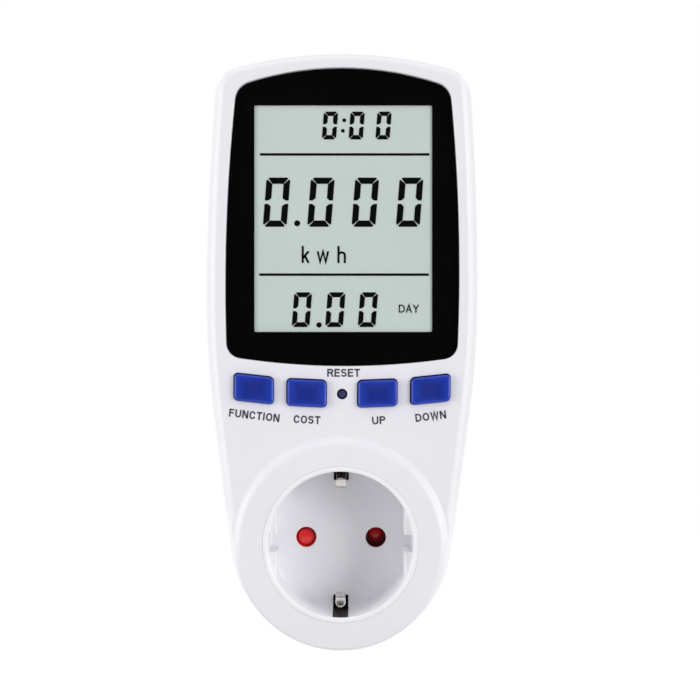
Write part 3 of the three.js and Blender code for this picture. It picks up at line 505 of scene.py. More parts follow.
def plastic(name, light, rough, shade=0.96, dark=None, tone=None, grain=2.2, grain_depth=0.004, specular=0.5):
    """Moulded plastic: spark-eroded grain, uneven polish, and a colour that drifts or follows a tone."""
    material, tree, shader = new_material(name)
    drift = 0.04
    dark = dark or tuple(c * shade for c in light)
    tone = tone(tree) if tone else spread(tree, noise(tree, drift, 3), 0, 1)
    feed(tree, shader, {
        "Base Color": blend_colours(tree, tone, dark, light),
        "Roughness": spread(tree, noise(tree, drift * 6, 5), rough - 0.05, rough + 0.05),
        "Normal": bumps(tree, noise(tree, grain, 2, 0.6), 0.5, grain_depth),
        "Specular IOR Level": specular,
    })
    return material


def metal(name, colour, rough, stretch=(1, 1, 1)):
    """Metal with drawing marks along one axis and a slightly uneven tarnish."""
    material, tree, shader = new_material(name)
    tone = spread(tree, noise(tree, 0.25, 4), 0, 1, 0.35, 0.7)
    tarnished = tuple(c * 0.85 for c in colour)
    marks = noise(tree, 1.5, 5, 0.6, stretch)
    feed(tree, shader, {
        "Base Color": blend_colours(tree, tone, tarnished, colour),
        "Roughness": spread(tree, marks, rough * 0.7, rough * 1.4),
        "Normal": bumps(tree, marks, 0.35, 0.01),
        "Metallic": 1.0,
    })
    return material


def painted_key_edge_highlight(tree):
    """Painted highlight: 0 at a key's middle and 1 at its edges, whose blue is painted lighter as if they
    caught more light.
    """
    place = coordinates(tree, "Generated")
    away = []
    for axis, half in (("X", KEY_WIDTH / 2), ("Z", KEY_HEIGHT / 2)):
        from_middle = calculate(tree, "SUBTRACT", one_axis(tree, place, axis), 0.5)
        edge = 0.5 * half / (half + KEY_FLANGE)
        away.append(spread(tree, calculate(tree, "ABSOLUTE", from_middle), 0, 1, 0, edge))
    return spread(tree, calculate(tree, "MAXIMUM", *away), 0, 1, 0.4, 0.95)


def painted_shutter_shade(tree):
    """Painted shade: 0 in the hollow round the rotor's deeper pad, where the red is painted nearly black as a
    shadow, and 1 on the pad and everywhere else.
    """
    place = coordinates(tree, "Object")
    start, end = (SHUTTER_Y + 2.9) * MM, (SHUTTER_Y + 3.6) * MM
    shallow = spread(tree, one_axis(tree, place, "Y"), 1, 0, start, end)
    rearward = spread(tree, one_axis(tree, coordinates(tree, "Normal"), "Y"), 0, 1, 0.3, 0.6)
    inputs = {"Vector": place, "Location": (-PIN_X * MM, 0, 0), "Scale": (1, 0, 1)}
    from_hole = add_node(tree, "Mapping", inputs).outputs["Vector"]
    away = calculate(tree, "LENGTH", from_hole, kind="VectorMath")
    outside = spread(tree, away, 0, 1, 3.05 * MM, 3.15 * MM)
    return calculate(tree, "MAXIMUM", calculate(tree, "MAXIMUM", shallow, rearward), outside)


def display_material():
    """Reflective display glass: grey-green, with the reflector's fine sparkle."""
    material, tree, shader = new_material("lcd_reflector")
    sparkle = noise(tree, 6, 2, 0.7)
    drift = spread(tree, noise(tree, 0.02, 2), 0, 0.65)
    tone = calculate(tree, "ADD", spread(tree, sparkle, 0, 0.35), drift)
    feed(tree, shader, {
        "Base Color": blend_colours(tree, tone, (0.68, 0.775, 0.745), (0.72, 0.81, 0.78)),
        "Roughness": 0.42,
        "Normal": bumps(tree, sparkle, 0.2, 0.003),
        "Specular IOR Level": 0.3,
    })
    return material


def clear_material():
    """The window's clear acrylic: almost see-through, with a polished surface."""
    material, tree, shader = new_material("clear_acrylic")
    haze = spread(tree, noise(tree, 0.15, 4), 0.02, 0.06)
    feed(tree, shader, {"Base Color": (0.02, 0.02, 0.02, 1), "Alpha": 0.05, "Roughness": haze})
    return material


def board_material():
    """Solder mask over a weave, with lighter tracks under the mask."""
    material, tree, shader = new_material("solder_mask")
    inputs = {"Vector": coordinates(tree, "Object"), "Rotation": (math.radians(90), 0, 0)}
    tracks = add_node(tree, "TexBrick", {
        "Vector": add_node(tree, "Mapping", inputs).outputs["Vector"],
        "Scale": 0.35 / MM,
        "Mortar Size": 0.06,
        "Color1": (0.012, 0.10, 0.035, 1),
        "Color2": (0.016, 0.13, 0.045, 1),
        "Mortar": (0.05, 0.28, 0.10, 1),
    })
    weave = bumps(tree, noise(tree, 1.2, 2), 0.3, 0.01)
    feed(tree, shader, {"Base Color": tracks.outputs["Color"], "Roughness": 0.35, "Normal": weave})
    return material


# The record's slots come first, and then the looks of pieces that share a slot.
MATERIALS = {
    "white_shell": plastic("white_abs", (0.868, 0.862, 0.908), 0.36, shade=0.985, grain_depth=0.003),
    "outlet_plastic": plastic("white_polyamide", (0.935, 0.93, 0.965), 0.38, shade=0.98, grain_depth=0.003),
    # the keys' blue is painted lighter towards their edges and darker at their middles, as painted highlight
    # and shade
    "key_plastic": plastic("blue_abs", (0.0105, 0.044, 0.44), 0.34, dark=(0.0072, 0.0225, 0.25),
                           tone=painted_key_edge_highlight, grain_depth=0.003, specular=0.45),
    # the red goes nearly black (shade=0.2) in the hollow round the deeper pad: painted shade
    "shutter_plastic": plastic("red_acetal", (0.95, 0.028, 0.034), 0.25, shade=0.2,
                               tone=painted_shutter_shade, grain_depth=0.002),
    "black_plastic": plastic("black_phenolic", (0.026, 0.015, 0.016), 0.5, shade=0.8,
                             grain=1.4, grain_depth=0.01),
    "holder_plastic": plastic("natural_plastic", (0.74, 0.74, 0.69), 0.55, shade=0.95),
    "rubber": plastic("silicone", (0.02, 0.022, 0.026), 0.8, shade=0.8, grain_depth=0.01),
    "film_yellow": plastic("yellow_box", (0.65, 0.33, 0.02), 0.35, shade=0.9),
    "can_sleeve": plastic("dark_sleeve", (0.012, 0.03, 0.10), 0.3, shade=0.85),
    "disc_blue": plastic("blue_epoxy", (0.02, 0.10, 0.42), 0.42, shade=0.88, grain=0.8, grain_depth=0.02),
    "battery_wrap": plastic("green_wrap", (0.05, 0.26, 0.07), 0.3, shade=0.9),
    "cable_grey": plastic("grey_cable", (0.42, 0.43, 0.45), 0.55, shade=0.9),
    "live_insulation": plastic("brown_pvc", (0.12, 0.035, 0.012), 0.42, shade=0.85),
    "label_film": plastic("label_film", (0.60, 0.61, 0.63), 0.42, shade=0.97, grain_depth=0.001),
    "nickel": metal("nickel_plate", (0.70, 0.68, 0.65), 0.24, (1, 0.15, 1)),
    "brass": metal("brass_sheet", (0.70, 0.50, 0.20), 0.3, (1, 0.2, 1)),
    "steel": metal("zinc_steel", (0.50, 0.51, 0.52), 0.3),
    "copper": metal("copper_alloy", (0.66, 0.34, 0.18), 0.32, (1, 1, 0.2)),
    "board": board_material(),
    "lcd": display_material(),
    "window": clear_material(),
    "border": plastic("black_print", (0.0014, 0.0014, 0.0015), 0.12, shade=0.7,
                      grain_depth=0.0001, specular=0.25),
    "reset": plastic("dark_blue_abs", (0.035, 0.031, 0.13), 0.4, shade=0.85),
    "ink": plastic("label_ink", (0.055, 0.055, 0.075), 0.6, shade=0.85, grain_depth=0.001),
    "segment": plastic("lcd_segment", (0.0003, 0.0008, 0.0006), 0.7, shade=0.9,
                       grain_depth=0.001, specular=0.05),
}

# ---- casing


def boss_profile(share):
    """The outlet's raised ring: flat, over a convex edge, into a hollow that meets the front face.

    share is 0 along the ring's top and sides, where the edge is soft, and 1 at its crisp bottom.
    """
    pairs = (BOSS_FLAT_R, BOSS_EDGE_R, BOSS_STEEP)
    flat_r, convex_r, steep = (top + (bottom - top) * share for top, bottom in pairs)
    reach_r = (FRONT_Y - RIM_Y) / (1 - math.cos(steep))
    hollow_r = reach_r - convex_r
    foot_r = flat_r + reach_r * math.sin(steep)
    slope, steps, sink = math.degrees(steep), 8, 0.004
    profile = [(AXIS_R, RIM_Y), (flat_r * 0.9, RIM_Y)]
    profile += arc(flat_r, RIM_Y + convex_r, convex_r, convex_r, -90, slope - 90, steps)
    hollow = arc(foot_r, FRONT_Y - hollow_r, hollow_r, hollow_r, 90 + slope, 90, steps)
    profile += [(r, y + sink * k) for k, (r, y) in enumerate(hollow) if k]
    return profile + [(foot_r, FRONT_Y + 1), (AXIS_R, FRONT_Y + 1)]


def build_boss():
    sides, crisp_from, crisp_over = 160, 15, 45  # the last two in degrees below level
    columns = []
    for i in range(sides):
        turn = 2 * math.pi * i / sides
        below = math.degrees(math.asin(-math.sin(turn)))
        share = min(1.0, max(0.0, (below - crisp_from) / crisp_over))
        share = share * share * (3 - 2 * share)
        columns.append([(r * math.cos(turn), y, r * math.sin(turn)) for r, y in boss_profile(share)])
    return skin("boss", list(zip(*columns)))


def build_front_shell():
    start = PARTING_Y - SEAM / 2
    shell = loft("front_shell", shell_rings(FRONT_Y, FRONT_DRAFT, FRONT_FILLET, start))
    boss = build_boss()
    overlap(boss, loft("limit", shell_rings(RIM_Y, FRONT_DRAFT, 0.8, start)))
    join(shell, boss)
    inside, outlet_r = FRONT_Y + 4, SEAM_R + OUTLET_SEAM / 2
    ledge = window_outline(WINDOW_LEDGE)
    tools = [
        shell_room(FRONT_Y, FRONT_DRAFT),
        flared_cutter("recess", lambda g: window_outline(-SEAM - g), FRONT_Y, WINDOW_REAR_Y + GAP, 0.35),
        loft("aperture", [(WINDOW_REAR_Y - 1, ledge), (inside, ledge)]),
        flared_cutter("mouth", lambda g: circle(0, 0, outlet_r + g, 160), RIM_Y, inside, 0.03),
        flared_cutter("pin", lambda g: circle(*RESET_HOLE, RESET_HOLE_R + g, 40), FRONT_Y, inside, 0.12),
    ]
    for name in KEY_NAMES:
        x, z = key_centre(name)
        outline = lambda g, x=x, z=z: key_outline(x + KEY_SLOT_X, z + KEY_SLOT_Z, KEY_SLOT + g)
        tools.append(flared_cutter("slot", outline, FRONT_Y, inside, 0.1))
    cut(shell, *tools)
    finish_piece(shell, "white_shell", "front_cover", degrees=38)


def heights(opening, side):
    """The heights that an earth contact's opening spans, above (side 1) or below (side -1) the axis."""
    return sorted((opening["inner"] * side, opening["outer"] * side))


def build_plug():
    edge = 1.0
    profile = [(AXIS_R, REAR_Y - 1), (PLUG_R, REAR_Y - 1)]
    profile += [(PLUG_R - aside, PLUG_Y - down) for aside, down in rounding(edge, 6)]
    plug = turned("plug", profile + [(AXIS_R, PLUG_Y)], 160)
    depths, past = (REAR_Y - 3, PLUG_Y), (-20, 20)
    flats = block("flats", (-PLUG_FLAT_X, PLUG_FLAT_X), depths, past, 0.9, 5)
    join(flats, block("ribs", past, depths, (-PLUG_RIB / 2, PLUG_RIB / 2), 0.5, 4))
    return overlap(plug, flats)


def screw_tower(place, inside):
    spot = middle(f"case_screw_{place}")
    wall, bore = circle(*spot, SCREW_TOWER_R, 48), circle(*spot, SCREW_BORE_R, 48)
    tower = loft("tower", [(inside + 0.4, wall), (SCREW_SEAT_Y - 2, wall)])
    return cut(tower, loft("inner", [(inside + 1, bore), (SCREW_SEAT_Y, bore)]))


def build_rear_shell():
    start = PARTING_Y + SEAM / 2
    shell = loft("rear_shell", shell_rings(REAR_Y, REAR_DRAFT, REAR_FILLET, start))
    join(shell, build_plug())
    inside = REAR_Y - WALL
    hollow = cylinder("hollow", PLUG_HOLLOW_R, inside - 1, PLUG_Y - WALL, 96)
    overlap(hollow, block("sides", (-PLUG_HOLLOW_X, PLUG_HOLLOW_X), (inside - 3, PLUG_Y), (-20, 20)))
    tools = [shell_room(REAR_Y, REAR_DRAFT), hollow]
    for side in (1, -1):
        hole = lambda g, x=side * PIN_X: circle(x, 0, PIN_R + 0.2 + g, 48)
        tools.append(flared_cutter("hole", hole, PLUG_Y, PLUG_Y - 4, 0.2, out=1))
        zs, half = heights(PLUG_WINDOW, side), PLUG_WINDOW["half"]
        tools.append(block("window", (-half, half), (REAR_Y + 1, PLUG_Y - PLUG_WINDOW["wall"]), zs))
    low, high = lowest("rating_label"), highest("rating_label")
    width, height, level = high.x - low.x, high.z - low.z, middle("rating_label")[1]

    def label_recess(grow, margin=0.8, corner_r=2.4):
        wide, tall = (size + margin + 2 * grow for size in (width, height))
        return [(x, z + level) for x, z in rounded_rectangle(wide, tall, corner_r + grow)]

    tools.append(flared_cutter("recess", label_recess, REAR_Y, REAR_Y - 0.35, 0.15, out=1))
    for place in SCREW_PLACES:
        bore = lambda g, spot=middle(f"case_screw_{place}"): circle(*spot, SCREW_BORE_R + g, 48)
        tools.append(flared_cutter("bore", bore, REAR_Y, inside - 0.5, 0.35, out=1))
    cut(shell, *tools)
    join(shell, *[screw_tower(place, inside) for place in SCREW_PLACES])
    finish_piece(shell, "white_shell", "rear_cover", degrees=38)


# ---- outlet


def segment_outline(side, half, inset):
    """A guide's section: the part of the well beyond its flat, on one side of the notch."""
    inner = GUIDE_X + inset
    outer = WELL_R + 0.4
    low_z = NOTCH_WIDTH / 2 + inset
    high_z = math.sqrt(outer**2 - inner**2)
    start, end = (math.degrees(math.asin(z / outer)) for z in (low_z, high_z))
    points = [(inner, low_z)] + arc(0, 0, outer, outer, start, end, 12)
    points = [(side * x, half * z) for x, z in points]
    return points if side * half > 0 else points[::-1]


def guide(side, half):
    front, edge = RIM_Y + 3, 0.5
    rings = [(WELL_FLOOR_Y + 0.5, segment_outline(side, half, 0))]
    rings += [(front + down, segment_outline(side, half, inset)) for inset, down in rounding(edge, 5)]
    return loft("guide", rings)


def build_outlet():
    rear, flange_r, flange = WELL_FLOOR_Y + WELL_FLOOR, 24, 1.6
    outer, edge, lip, foot = SEAM_R - OUTLET_SEAM / 2, 0.04, 0.7, 0.35
    profile = [(AXIS_R, rear), (flange_r, rear), (flange_r, rear - flange), (outer, rear - flange)]
    profile += [(outer - aside, RIM_Y + down) for aside, down in rounding(edge, 3)]
    profile += [(WELL_R + aside, RIM_Y + down) for aside, down in reversed(rounding(lip, 7))]
    profile += [(WELL_R - aside, WELL_FLOOR_Y - down) for aside, down in rounding(foot, 5)]
    outlet = turned("outlet_well", profile + [(AXIS_R, WELL_FLOOR_Y)], 192)
    join(outlet, *[guide(side, half) for side in (1, -1) for half in (1, -1)])
    tools = []
    for side in (1, -1):
        zs, half = heights(EARTH_SLOT, side), EARTH_SLOT["half"]
        tools.append(block("slot", (-half, half), (RIM_Y + 0.75, rear + 1), zs, 0.3, 3))
        hole = lambda g, x=side * PIN_X: circle(x, 0, PIN_HOLE_R + g, 64)
        tools.append(flared_cutter("hole", hole, WELL_FLOOR_Y, rear + 1, 0.45))
    cut(outlet, *tools)
    finish_piece(outlet, "outlet_plastic", "socket_insert", degrees=38)


def pad_profile(r, top, floor):
    """A domed pad with a round edge, standing on a dimple's floor."""
    edge, rise = 0.7, 0.25
    profile = [(AXIS_R, floor + 0.3), (r, floor + 0.3)]
    profile += [(r - aside, top + rise + down) for aside, down in rounding(edge, 6)]
    inward = [1 - k / 6 for k in range(1, 7)]
    return profile + [((r - edge) * share + AXIS_R, top + rise * share**2) for share in inward]


def build_shutter():
    """The red rotor: two lobes, each with a ramp on its face and a domed pad in a dimple behind its hole."""
    thick, hub_r, bore_r, reach, half_angle = 4, 4.6, 1.7, 13.6, 19
    front, rear, chamfer, dimple, dimple_r = SHUTTER_Y, SHUTTER_Y + thick, 0.2, 0.9, 3
    profile = [(AXIS_R, rear), (hub_r, rear), (hub_r, front + chamfer), (hub_r - chamfer, front)]
    rotor = turned("shutter_rotor", profile + [(AXIS_R, front)], 48)
    # Each lobe's turn, its ramp's angle and depth, and its pad's height offset, radius and depth.
    lobes = ((0, 22, 2.0, 0.5, 2.15, 2.8), (180, 8, 0.5, 0, 2.45, 0.05))
    for turn, ramp_angle, ramp_depth, pad_z, pad_r, pad_depth in lobes:
        way = math.cos(math.radians(turn))
        outline = [(0, 0)] + arc(0, 0, way * reach, way * reach, -half_angle, half_angle, 16)
        lobe = loft("lobe", [(front, outline), (rear, outline)])
        above = block("above", (hub_r, 15), (-14, 0), (-14, 14))
        above.data.transform(
            Matrix.Rotation(math.radians(turn), 4, "Y")
            @ Matrix.Translation((0, (front + ramp_depth) * MM, 0))
            @ Matrix.Rotation(math.radians(ramp_angle), 4, "X")
        )
        top = front + pad_depth
        floor = top + dimple
        cut(lobe, above, cylinder("sink", dimple_r, floor, front - 1, 48, (way * PIN_X, 0)))
        join(rotor, join(lobe, turned("pad", pad_profile(pad_r, top, floor), 48, (way * PIN_X, pad_z))))
    cut(rotor, cylinder("bore", bore_r, rear + 1, front - 1, 32))
    finish_piece(rotor, "shutter_plastic", "shutter", degrees=38, body="shutter")


def smooth_path(points):
    """A Catmull-Rom curve through (y, z) points."""
    ends, steps = [points[0]] + points + [points[-1]], 8
    curve = []
    for i in range(1, len(ends) - 2):
        p0, p1, p2, p3 = (Vector(ends[i + k]) for k in (-1, 0, 1, 2))
        for k in range(steps):
            t = k / steps
            bend = 2 * p1 + (p2 - p0) * t + (2 * p0 - 5 * p1 + 4 * p2 - p3) * t**2
            curve.append(0.5 * (bend + (3 * p1 - p0 - 3 * p2 + p3) * t**3))
    return curve + [Vector(points[-1])]


def bent_sheet(name, points, thickness, width_at):
    """Sheet metal bent along (y, z) points, with width_at(share) giving its half width along the way."""
    path, edge = smooth_path(points), 0.12
    lengths = [0.0]
    for a, b in zip(path, path[1:]):
        lengths.append(lengths[-1] + (b - a).length)
    corners = []
    for sx, sn in ((1, -1), (1, 1), (-1, 1), (-1, -1)):
        for k in (-1, 0, 1):
            turn = math.atan2(sn, sx) + k * math.pi / 4
            corners.append((sx, sn, math.cos(turn), math.sin(turn)))
    rings = []
    for i, p in enumerate(path):
        along = (path[min(i + 1, len(path) - 1)] - path[max(i - 1, 0)]).normalized()
        half = width_at(lengths[i] / lengths[-1])
        ring = []
        for sx, sn, cx, cn in corners:
            off = sn * (thickness / 2 - edge) + cn * edge
            ring.append((sx * (half - edge) + cx * edge, p.x - along.y * off, p.y + along.x * off))
        rings.append(ring)
    return skin(name, rings)


def earth_strips(suffix, node_suffix, points, thickness, width_at):
    """The same nickel strip above and, turned over, below."""
    for side in ("upper", "lower"):
        strip = bent_sheet(f"{side}_{suffix}", points, thickness, width_at)
        if side == "lower":
            strip.data.transform(Matrix.Rotation(math.pi, 4, "Y"))
        finish_piece(strip, "nickel", f"{side}_{node_suffix}", degrees=50)


def build_earth_clips():
    points = [(-53.5, 17.2), (-53.25, 16.3), (-53.0, 15.4), (-52.6, 14.95), (-51.6, 14.7), (-49.5, 14.4),
              (-46.6, 14.3), (-44.6, 14.9), (-42.8, 16.3), (-41.2, 17.4), (-39.5, 17.9), (-33, 17.9),
              (-25.5, 17.9), (-24.6, 17.6), (-24.2, 16.7), (-24.2, 14.9)]
    half, tip = 1.32, 0.04
    round_tip = lambda share: half * math.sqrt(max(0.1, 1 - max(0.0, 1 - share / tip) ** 2))
    earth_strips("earth_spring", "earth_clip", points, 0.6, round_tip)


def build_plug_earths():
    level = PLUG_EARTH_Z
    points = [(-23, level - 3.3), (-23, level - 1.1), (-22.4, level - 0.3), (-21.4, level), (-14, level),
              (-6, level), (-4, level - 0.4), (-3, level - 1.3)]
    earth_strips("plug_strip", "plug_earth", points, 0.8, lambda share: 2.2)


# ---- plug pins and screws


def build_pins():
    tip_y, tip, root_y, collar = highest("live_pin").y, 2.2, -10, (-4.6, -2.3)
    for side, name in ((-1, "neutral"), (1, "live")):
        profile = [(AXIS_R, root_y), (PIN_R, root_y), (PIN_R, collar[0]), (PIN_COLLAR_R, collar[0])]
        profile += [(PIN_COLLAR_R, collar[1]), (PIN_R, collar[1]), (PIN_R, 2), (PIN_R, tip_y - 8)]
        profile += arc(0, tip_y - tip, PIN_R, tip, 0, 90, 12)[:-1]
        pin = turned(f"{name}_contact_pin", profile + [(AXIS_R, tip_y)], 64, (side * PIN_X, 0))
        finish_piece(pin, "nickel", f"{name}_pin")


def build_screw(place):
    """A pan head with a cross slot, over a threaded shank."""
    node = f"case_screw_{place}"
    x, z = middle(node)
    head_r, head, shank_r, core, pitch, length = 2.8, 2.2, 1.4, 0.72, 1.1, 15
    top = highest(node).y
    seat, core_r = top - head, shank_r * core
    y = seat - length + shank_r
    profile = [(AXIS_R, y - shank_r), (shank_r * 0.5, y)]
    while y < seat - 1.5:
        profile += [(core_r, y), (shank_r, y + pitch * 0.3), (core_r, y + pitch * 0.6)]
        y += pitch
    profile += [(core_r, seat), (head_r, seat), (head_r, seat + head * 0.35)]
    profile += arc(head_r * 0.3, seat + head * 0.35, head_r * 0.7, head * 0.65, 0, 90, 8)[1:-1]
    screw = turned(f"rear_screw_{place}", profile + [(AXIS_R, top)], 48, (x, z))
    wide, thin = head_r * 0.5, head_r * 0.16
    for half_x, half_z in ((wide, thin), (thin, wide)):
        rings = []
        for depth, share in ((head * 0.62, 0.45), (-0.2, 1.05)):
            a, b = half_x * share, half_z * share
            rings.append((top - depth, [(x + a, z - b), (x + a, z + b), (x - a, z + b), (x - a, z - b)]))
        cut(screw, loft("slot", rings))
    finish_piece(screw, "steel", node, degrees=35)


# ---- window and display


def build_window():
    """A clear plate with a black border printed on its back."""
    whole, edge = window_outline(0), 0.25
    rings = [(WINDOW_REAR_Y - PRINT, whole)]
    rings += [(FRONT_Y + down, window_outline(inset)) for inset, down in rounding(edge, 4)]
    finish_piece(loft("window_plate", rings), "window", "display_window")
    border = loft("window_border", [(WINDOW_REAR_Y, whole), (WINDOW_REAR_Y - PRINT + 0.01, whole)])
    mid_x, mid_z = sum(VIEW_X) / 2, sum(VIEW_Z) / 2
    corners = rounded_rectangle(VIEW_X[1] - VIEW_X[0], VIEW_Z[1] - VIEW_Z[0], 0.4, 4)
    opening = [(x - z * VIEW_TILT + mid_x, z + x * VIEW_TILT + mid_z) for x, z in corners]
    cut(border, loft("opening", [(WINDOW_REAR_Y + 1, opening), (WINDOW_REAR_Y - 1, opening)]))
    finish_piece(border, "window", material="border")


class Ink:
    """Collects flat shapes, level or at a tilt, and makes one thin solid of them."""

    def __init__(self, name, y, thickness, tilt=0.0):
        self.name, self.y, self.thickness, self.tilt = name, y, thickness, tilt
        self.vertices, self.faces = [], []

    def shape(self, points):
        start, count = len(self.vertices), len(points)
        for y in (self.y, self.y - self.thickness):
            self.vertices += [(x, y, z + x * self.tilt) for x, z in points]
        self.faces.append(tuple(range(start, start + count)))
        self.faces.append(tuple(range(start + 2 * count - 1, start + count - 1, -1)))
        for i in range(count):
            a, b = start + i, start + (i + 1) % count
            self.faces.append((a, b, b + count, a + count))

    def piece(self):
        return make_piece(self.name, self.vertices, self.faces, merge=False)


def zero_digit(ink, x, z, width, height, stroke):
    """A seven-segment 0 about (x, z), leaning right, with mitred gaps and clipped outer corners."""
    w, h, s = width / 2, height / 2, stroke
    gap, clip, middle_gap = s * 0.08, s * 0.42, s * 0.28
    mitre, near, far = clip / 2, gap * 0.6, gap * 1.4

    def lean(points):
        return [(x + px + pz * math.tan(DIGIT_SLANT), z + pz) for px, pz in points]

    top = [(-w + clip + gap, h), (w - clip - gap, h), (w - mitre - far, h - mitre + near)]
    top += [(w - s - near, h - s), (-w + s + near, h - s), (-w + mitre + far, h - mitre + near)]
    side = [(w, middle_gap), (w, h - clip - gap), (w - mitre + near, h - mitre - far)]
    side += [(w - s, h - s - near), (w - s, middle_gap + s * 0.4), (w - s * 0.55, middle_gap)]
    for sz in (1, -1):
        ink.shape(lean([(px, sz * pz) for px, pz in top]))
        for sx in (1, -1):
            ink.shape(lean([(sx * px, sz * pz) for px, pz in side]))


def build_display():
    face_y = lowest("lcd_glass").y
    ink = Ink("lcd_figures", face_y - 0.02, 0.06, VIEW_TILT)
    # Each row's height and the digits' places, width, height and stroke.
    rows = (
        (110.35, (-3.36, 3.7, 10.78), 3.74, 7.34, 1.14),
        (90.11, (-17.35, -5.64, 6.07, 17.79), 6.27, 12.97, 1.64),
        (61.73, (-10.54, -1.71, 6.89), 4.66, 9.17, 1.28),
    )
    for z, places, width, height, stroke in rows:
        for x in places:
            zero_digit(ink, x, z, width, height, stroke)
    colon = ((0.4, 111.75, 0.5, 20), (0.05, 108.95, 0.5, 20))
    dots = colon + ((-11.88, 84.54, 0.78, 28), (-5.98, 57.7, 0.7, 24))
    for x, z, r, sides in dots:
        ink.shape(circle(x, z, r, sides))
    left, right, half = -21.8, 22.9, 0.32
    for z in (102.72, 70.99):
        ink.shape([(left, z - half), (right, z - half), (right, z + half), (left, z + half)])
    finish_piece(ink.piece(), "lcd", material="segment", weighted=False)
    unit_y = face_y - 0.05
    for letter, x, width in (("k", -9.6, 2.1), ("w", -5.05, 3.3), ("h", -0.1, 2.2)):
        lettering(f"lcd_unit_{letter}", letter, (x, 76.3), unit_y, 4.5, width, 0, 0.54, "segment", "lcd")
    lettering("lcd_day", "DAY", (17.7, 62.1), unit_y, 2.1, 5.3, VIEW_TILT, 0.3, "segment", "lcd")


def glyph(letter, w, t):
    """Centre lines of a plain sans letter of cap height 1 and width w, for strokes of thickness t."""
    a = t / 2
    left, right, centre, top, mid, x_height = a, w - a, w / 2, 1 - a, 0.52, 0.68
    r = (w - t) / 2
    tall = min(r * 1.15, (1 - t) / 2)
    low, high = (mid - a) / 2, (top - mid) / 2
    bowl_x, belly_x, belly = w * 0.6, w * 0.42, 0.4
    stem, roof = [(left, 0), (left, 1)], [(0, top), (w, top)]
    p_bowl = [(left, top)] + arc(bowl_x, mid + high, right - bowl_x, high, 90, -90) + [(left, mid)]
    d_bowl = arc(belly_x, top - belly, right - belly_x, belly, 90, 0)
    d_bowl += arc(belly_x, a + belly, right - belly_x, belly, 0, -90)
    o_right = arc(centre, a + tall, r, tall, -93, 0, 8) + arc(centre, top - tall, r, tall, 0, 93, 8)
    o_left = arc(centre, a + tall, r, tall, 273, 180, 8) + arc(centre, top - tall, r, tall, 180, 87, 8)
    return {
        "I": [stem],
        "F": [stem, roof, [(a, mid), (w * 0.92, mid)]],
        "E": [stem, roof, [(a, mid), (w * 0.94, mid)], [(0, a), (w, a)]],
        "T": [roof, [(centre, 0), (centre, 1)]],
        "N": [stem, [(right, 0), (right, 1)], [(left + a * 0.3, 1 - a * 0.2), (right - a * 0.3, a * 0.2)]],
        "U": [[(left, 1)] + arc(centre, a + tall, r, tall, 180, 360) + [(right, 1)]],
        "O": [o_right, o_left],
        "C": [arc(centre, top - tall, r, tall, 12, 180) + arc(centre, a + tall, r, tall, 180, 348)],
        "D": [stem, [(left, top)] + d_bowl + [(left, a)]],
        "P": [stem, p_bowl],
        "R": [stem, p_bowl, [(w * 0.52, mid), (w * 0.72, mid - 0.12), (right + a * 0.4, 0)]],
        "S": [arc(centre, top - high, r, high, 15, 250, 12) + arc(centre, a + low, r, low, 70, -165, 12)],
        "W": [[(left, 1), (w * 0.28, a * 0.3), (centre, 1 - a * 0.3), (w * 0.72, a * 0.3), (right, 1)]],
        "A": [[(a * 0.8, 0), (centre, 1 - a * 0.4), (w - a * 0.8, 0)], [(w * 0.2, 0.33), (w * 0.8, 0.33)]],
        "Y": [[(a * 0.8, 1), (centre, 0.45), (w - a * 0.8, 1)], [(centre, 0.45), (centre, 0)]],
        "w": [[(left, x_height), (w * 0.28, a), (centre, x_height), (w * 0.72, a), (right, x_height)]],
        "k": [stem, [(left, 0.26), (right, x_height)], [(w * 0.38, 0.42), (right, 0)]],
        "h": [stem, [(left, 0.4)] + arc(centre, x_height - a - r * 0.9, r, r * 0.9, 180, 0) + [(right, 0)]],
    }[letter]


def ribbon(points, t):
    """The outline of a stroke of thickness t along a polyline, with mitred joints."""
    sides = ([], [])
    for i, (x, z) in enumerate(points):
        here = Vector((x, z))
        come = (here - Vector(points[i - 1])) if i else (Vector(points[1]) - here)
        go = (Vector(points[i + 1]) - here) if i < len(points) - 1 else come
        come, go = come.normalized(), go.normalized()
        across = Vector((-(come + go).y, (come + go).x)).normalized()
        reach = t / 2 / max(0.35, across.dot(Vector((-go.y, go.x))))
        for side, sign in zip(sides, (1, -1)):
            side.append((x + sign * across.x * reach, z + sign * across.y * reach))
    return sides[0] + sides[1][::-1]


def lettering(name, words, centre, y, cap_height, width, turn, weight, material, slot):
    """Printed letters facing the front, about a centre, at a cap height and an overall width."""
    widths = [LETTER_WIDTHS.get(letter, PLAIN_LETTER_WIDTH) for letter in words]
    total = sum(widths) + LETTER_SPACING * (len(words) - 1)
    stretch = width / total
    thickness = weight / cap_height
    ink = Ink(name, y, 0.04)
    start = -total / 2
    ca, sa = math.cos(turn), math.sin(turn)
    for letter, w in zip(words, widths):
        for stroke in glyph(letter, w * stretch / cap_height, thickness):
            placed = []
            for px, pz in ribbon(stroke, thickness):
                u, v = start * stretch + px * cap_height, (pz - 0.5) * cap_height
                placed.append((centre[0] + u * ca - v * sa, centre[1] + u * sa + v * ca))
            ink.shape(placed)
        start += w + LETTER_SPACING
    finish_piece(ink.piece(), slot, material=material, weighted=False)


def build_labels():
    y, cap_height, weight = FRONT_Y - 0.01, 2.1, 0.4
    rows = (
        ("FUNCTION", (-22.85, 33.8), 13.3, -6.2),
        ("COST", (-9.0, 32.75), 7.0, -2.7),
        ("RESET", (0.55, 45.1), 8.6, 0.2),
        ("UP", (9.85, 32.65), 3.5, 3.2),
        ("DOWN", (23.5, 33.8), 8.1, 7.2),
    )
    for word, centre, width, degrees in rows:
        name, turn = f"{word.lower()}_mark", math.radians(degrees)
        lettering(name, word, centre, y, cap_height, width, turn, weight, "ink", "white_shell")


# ---- keys


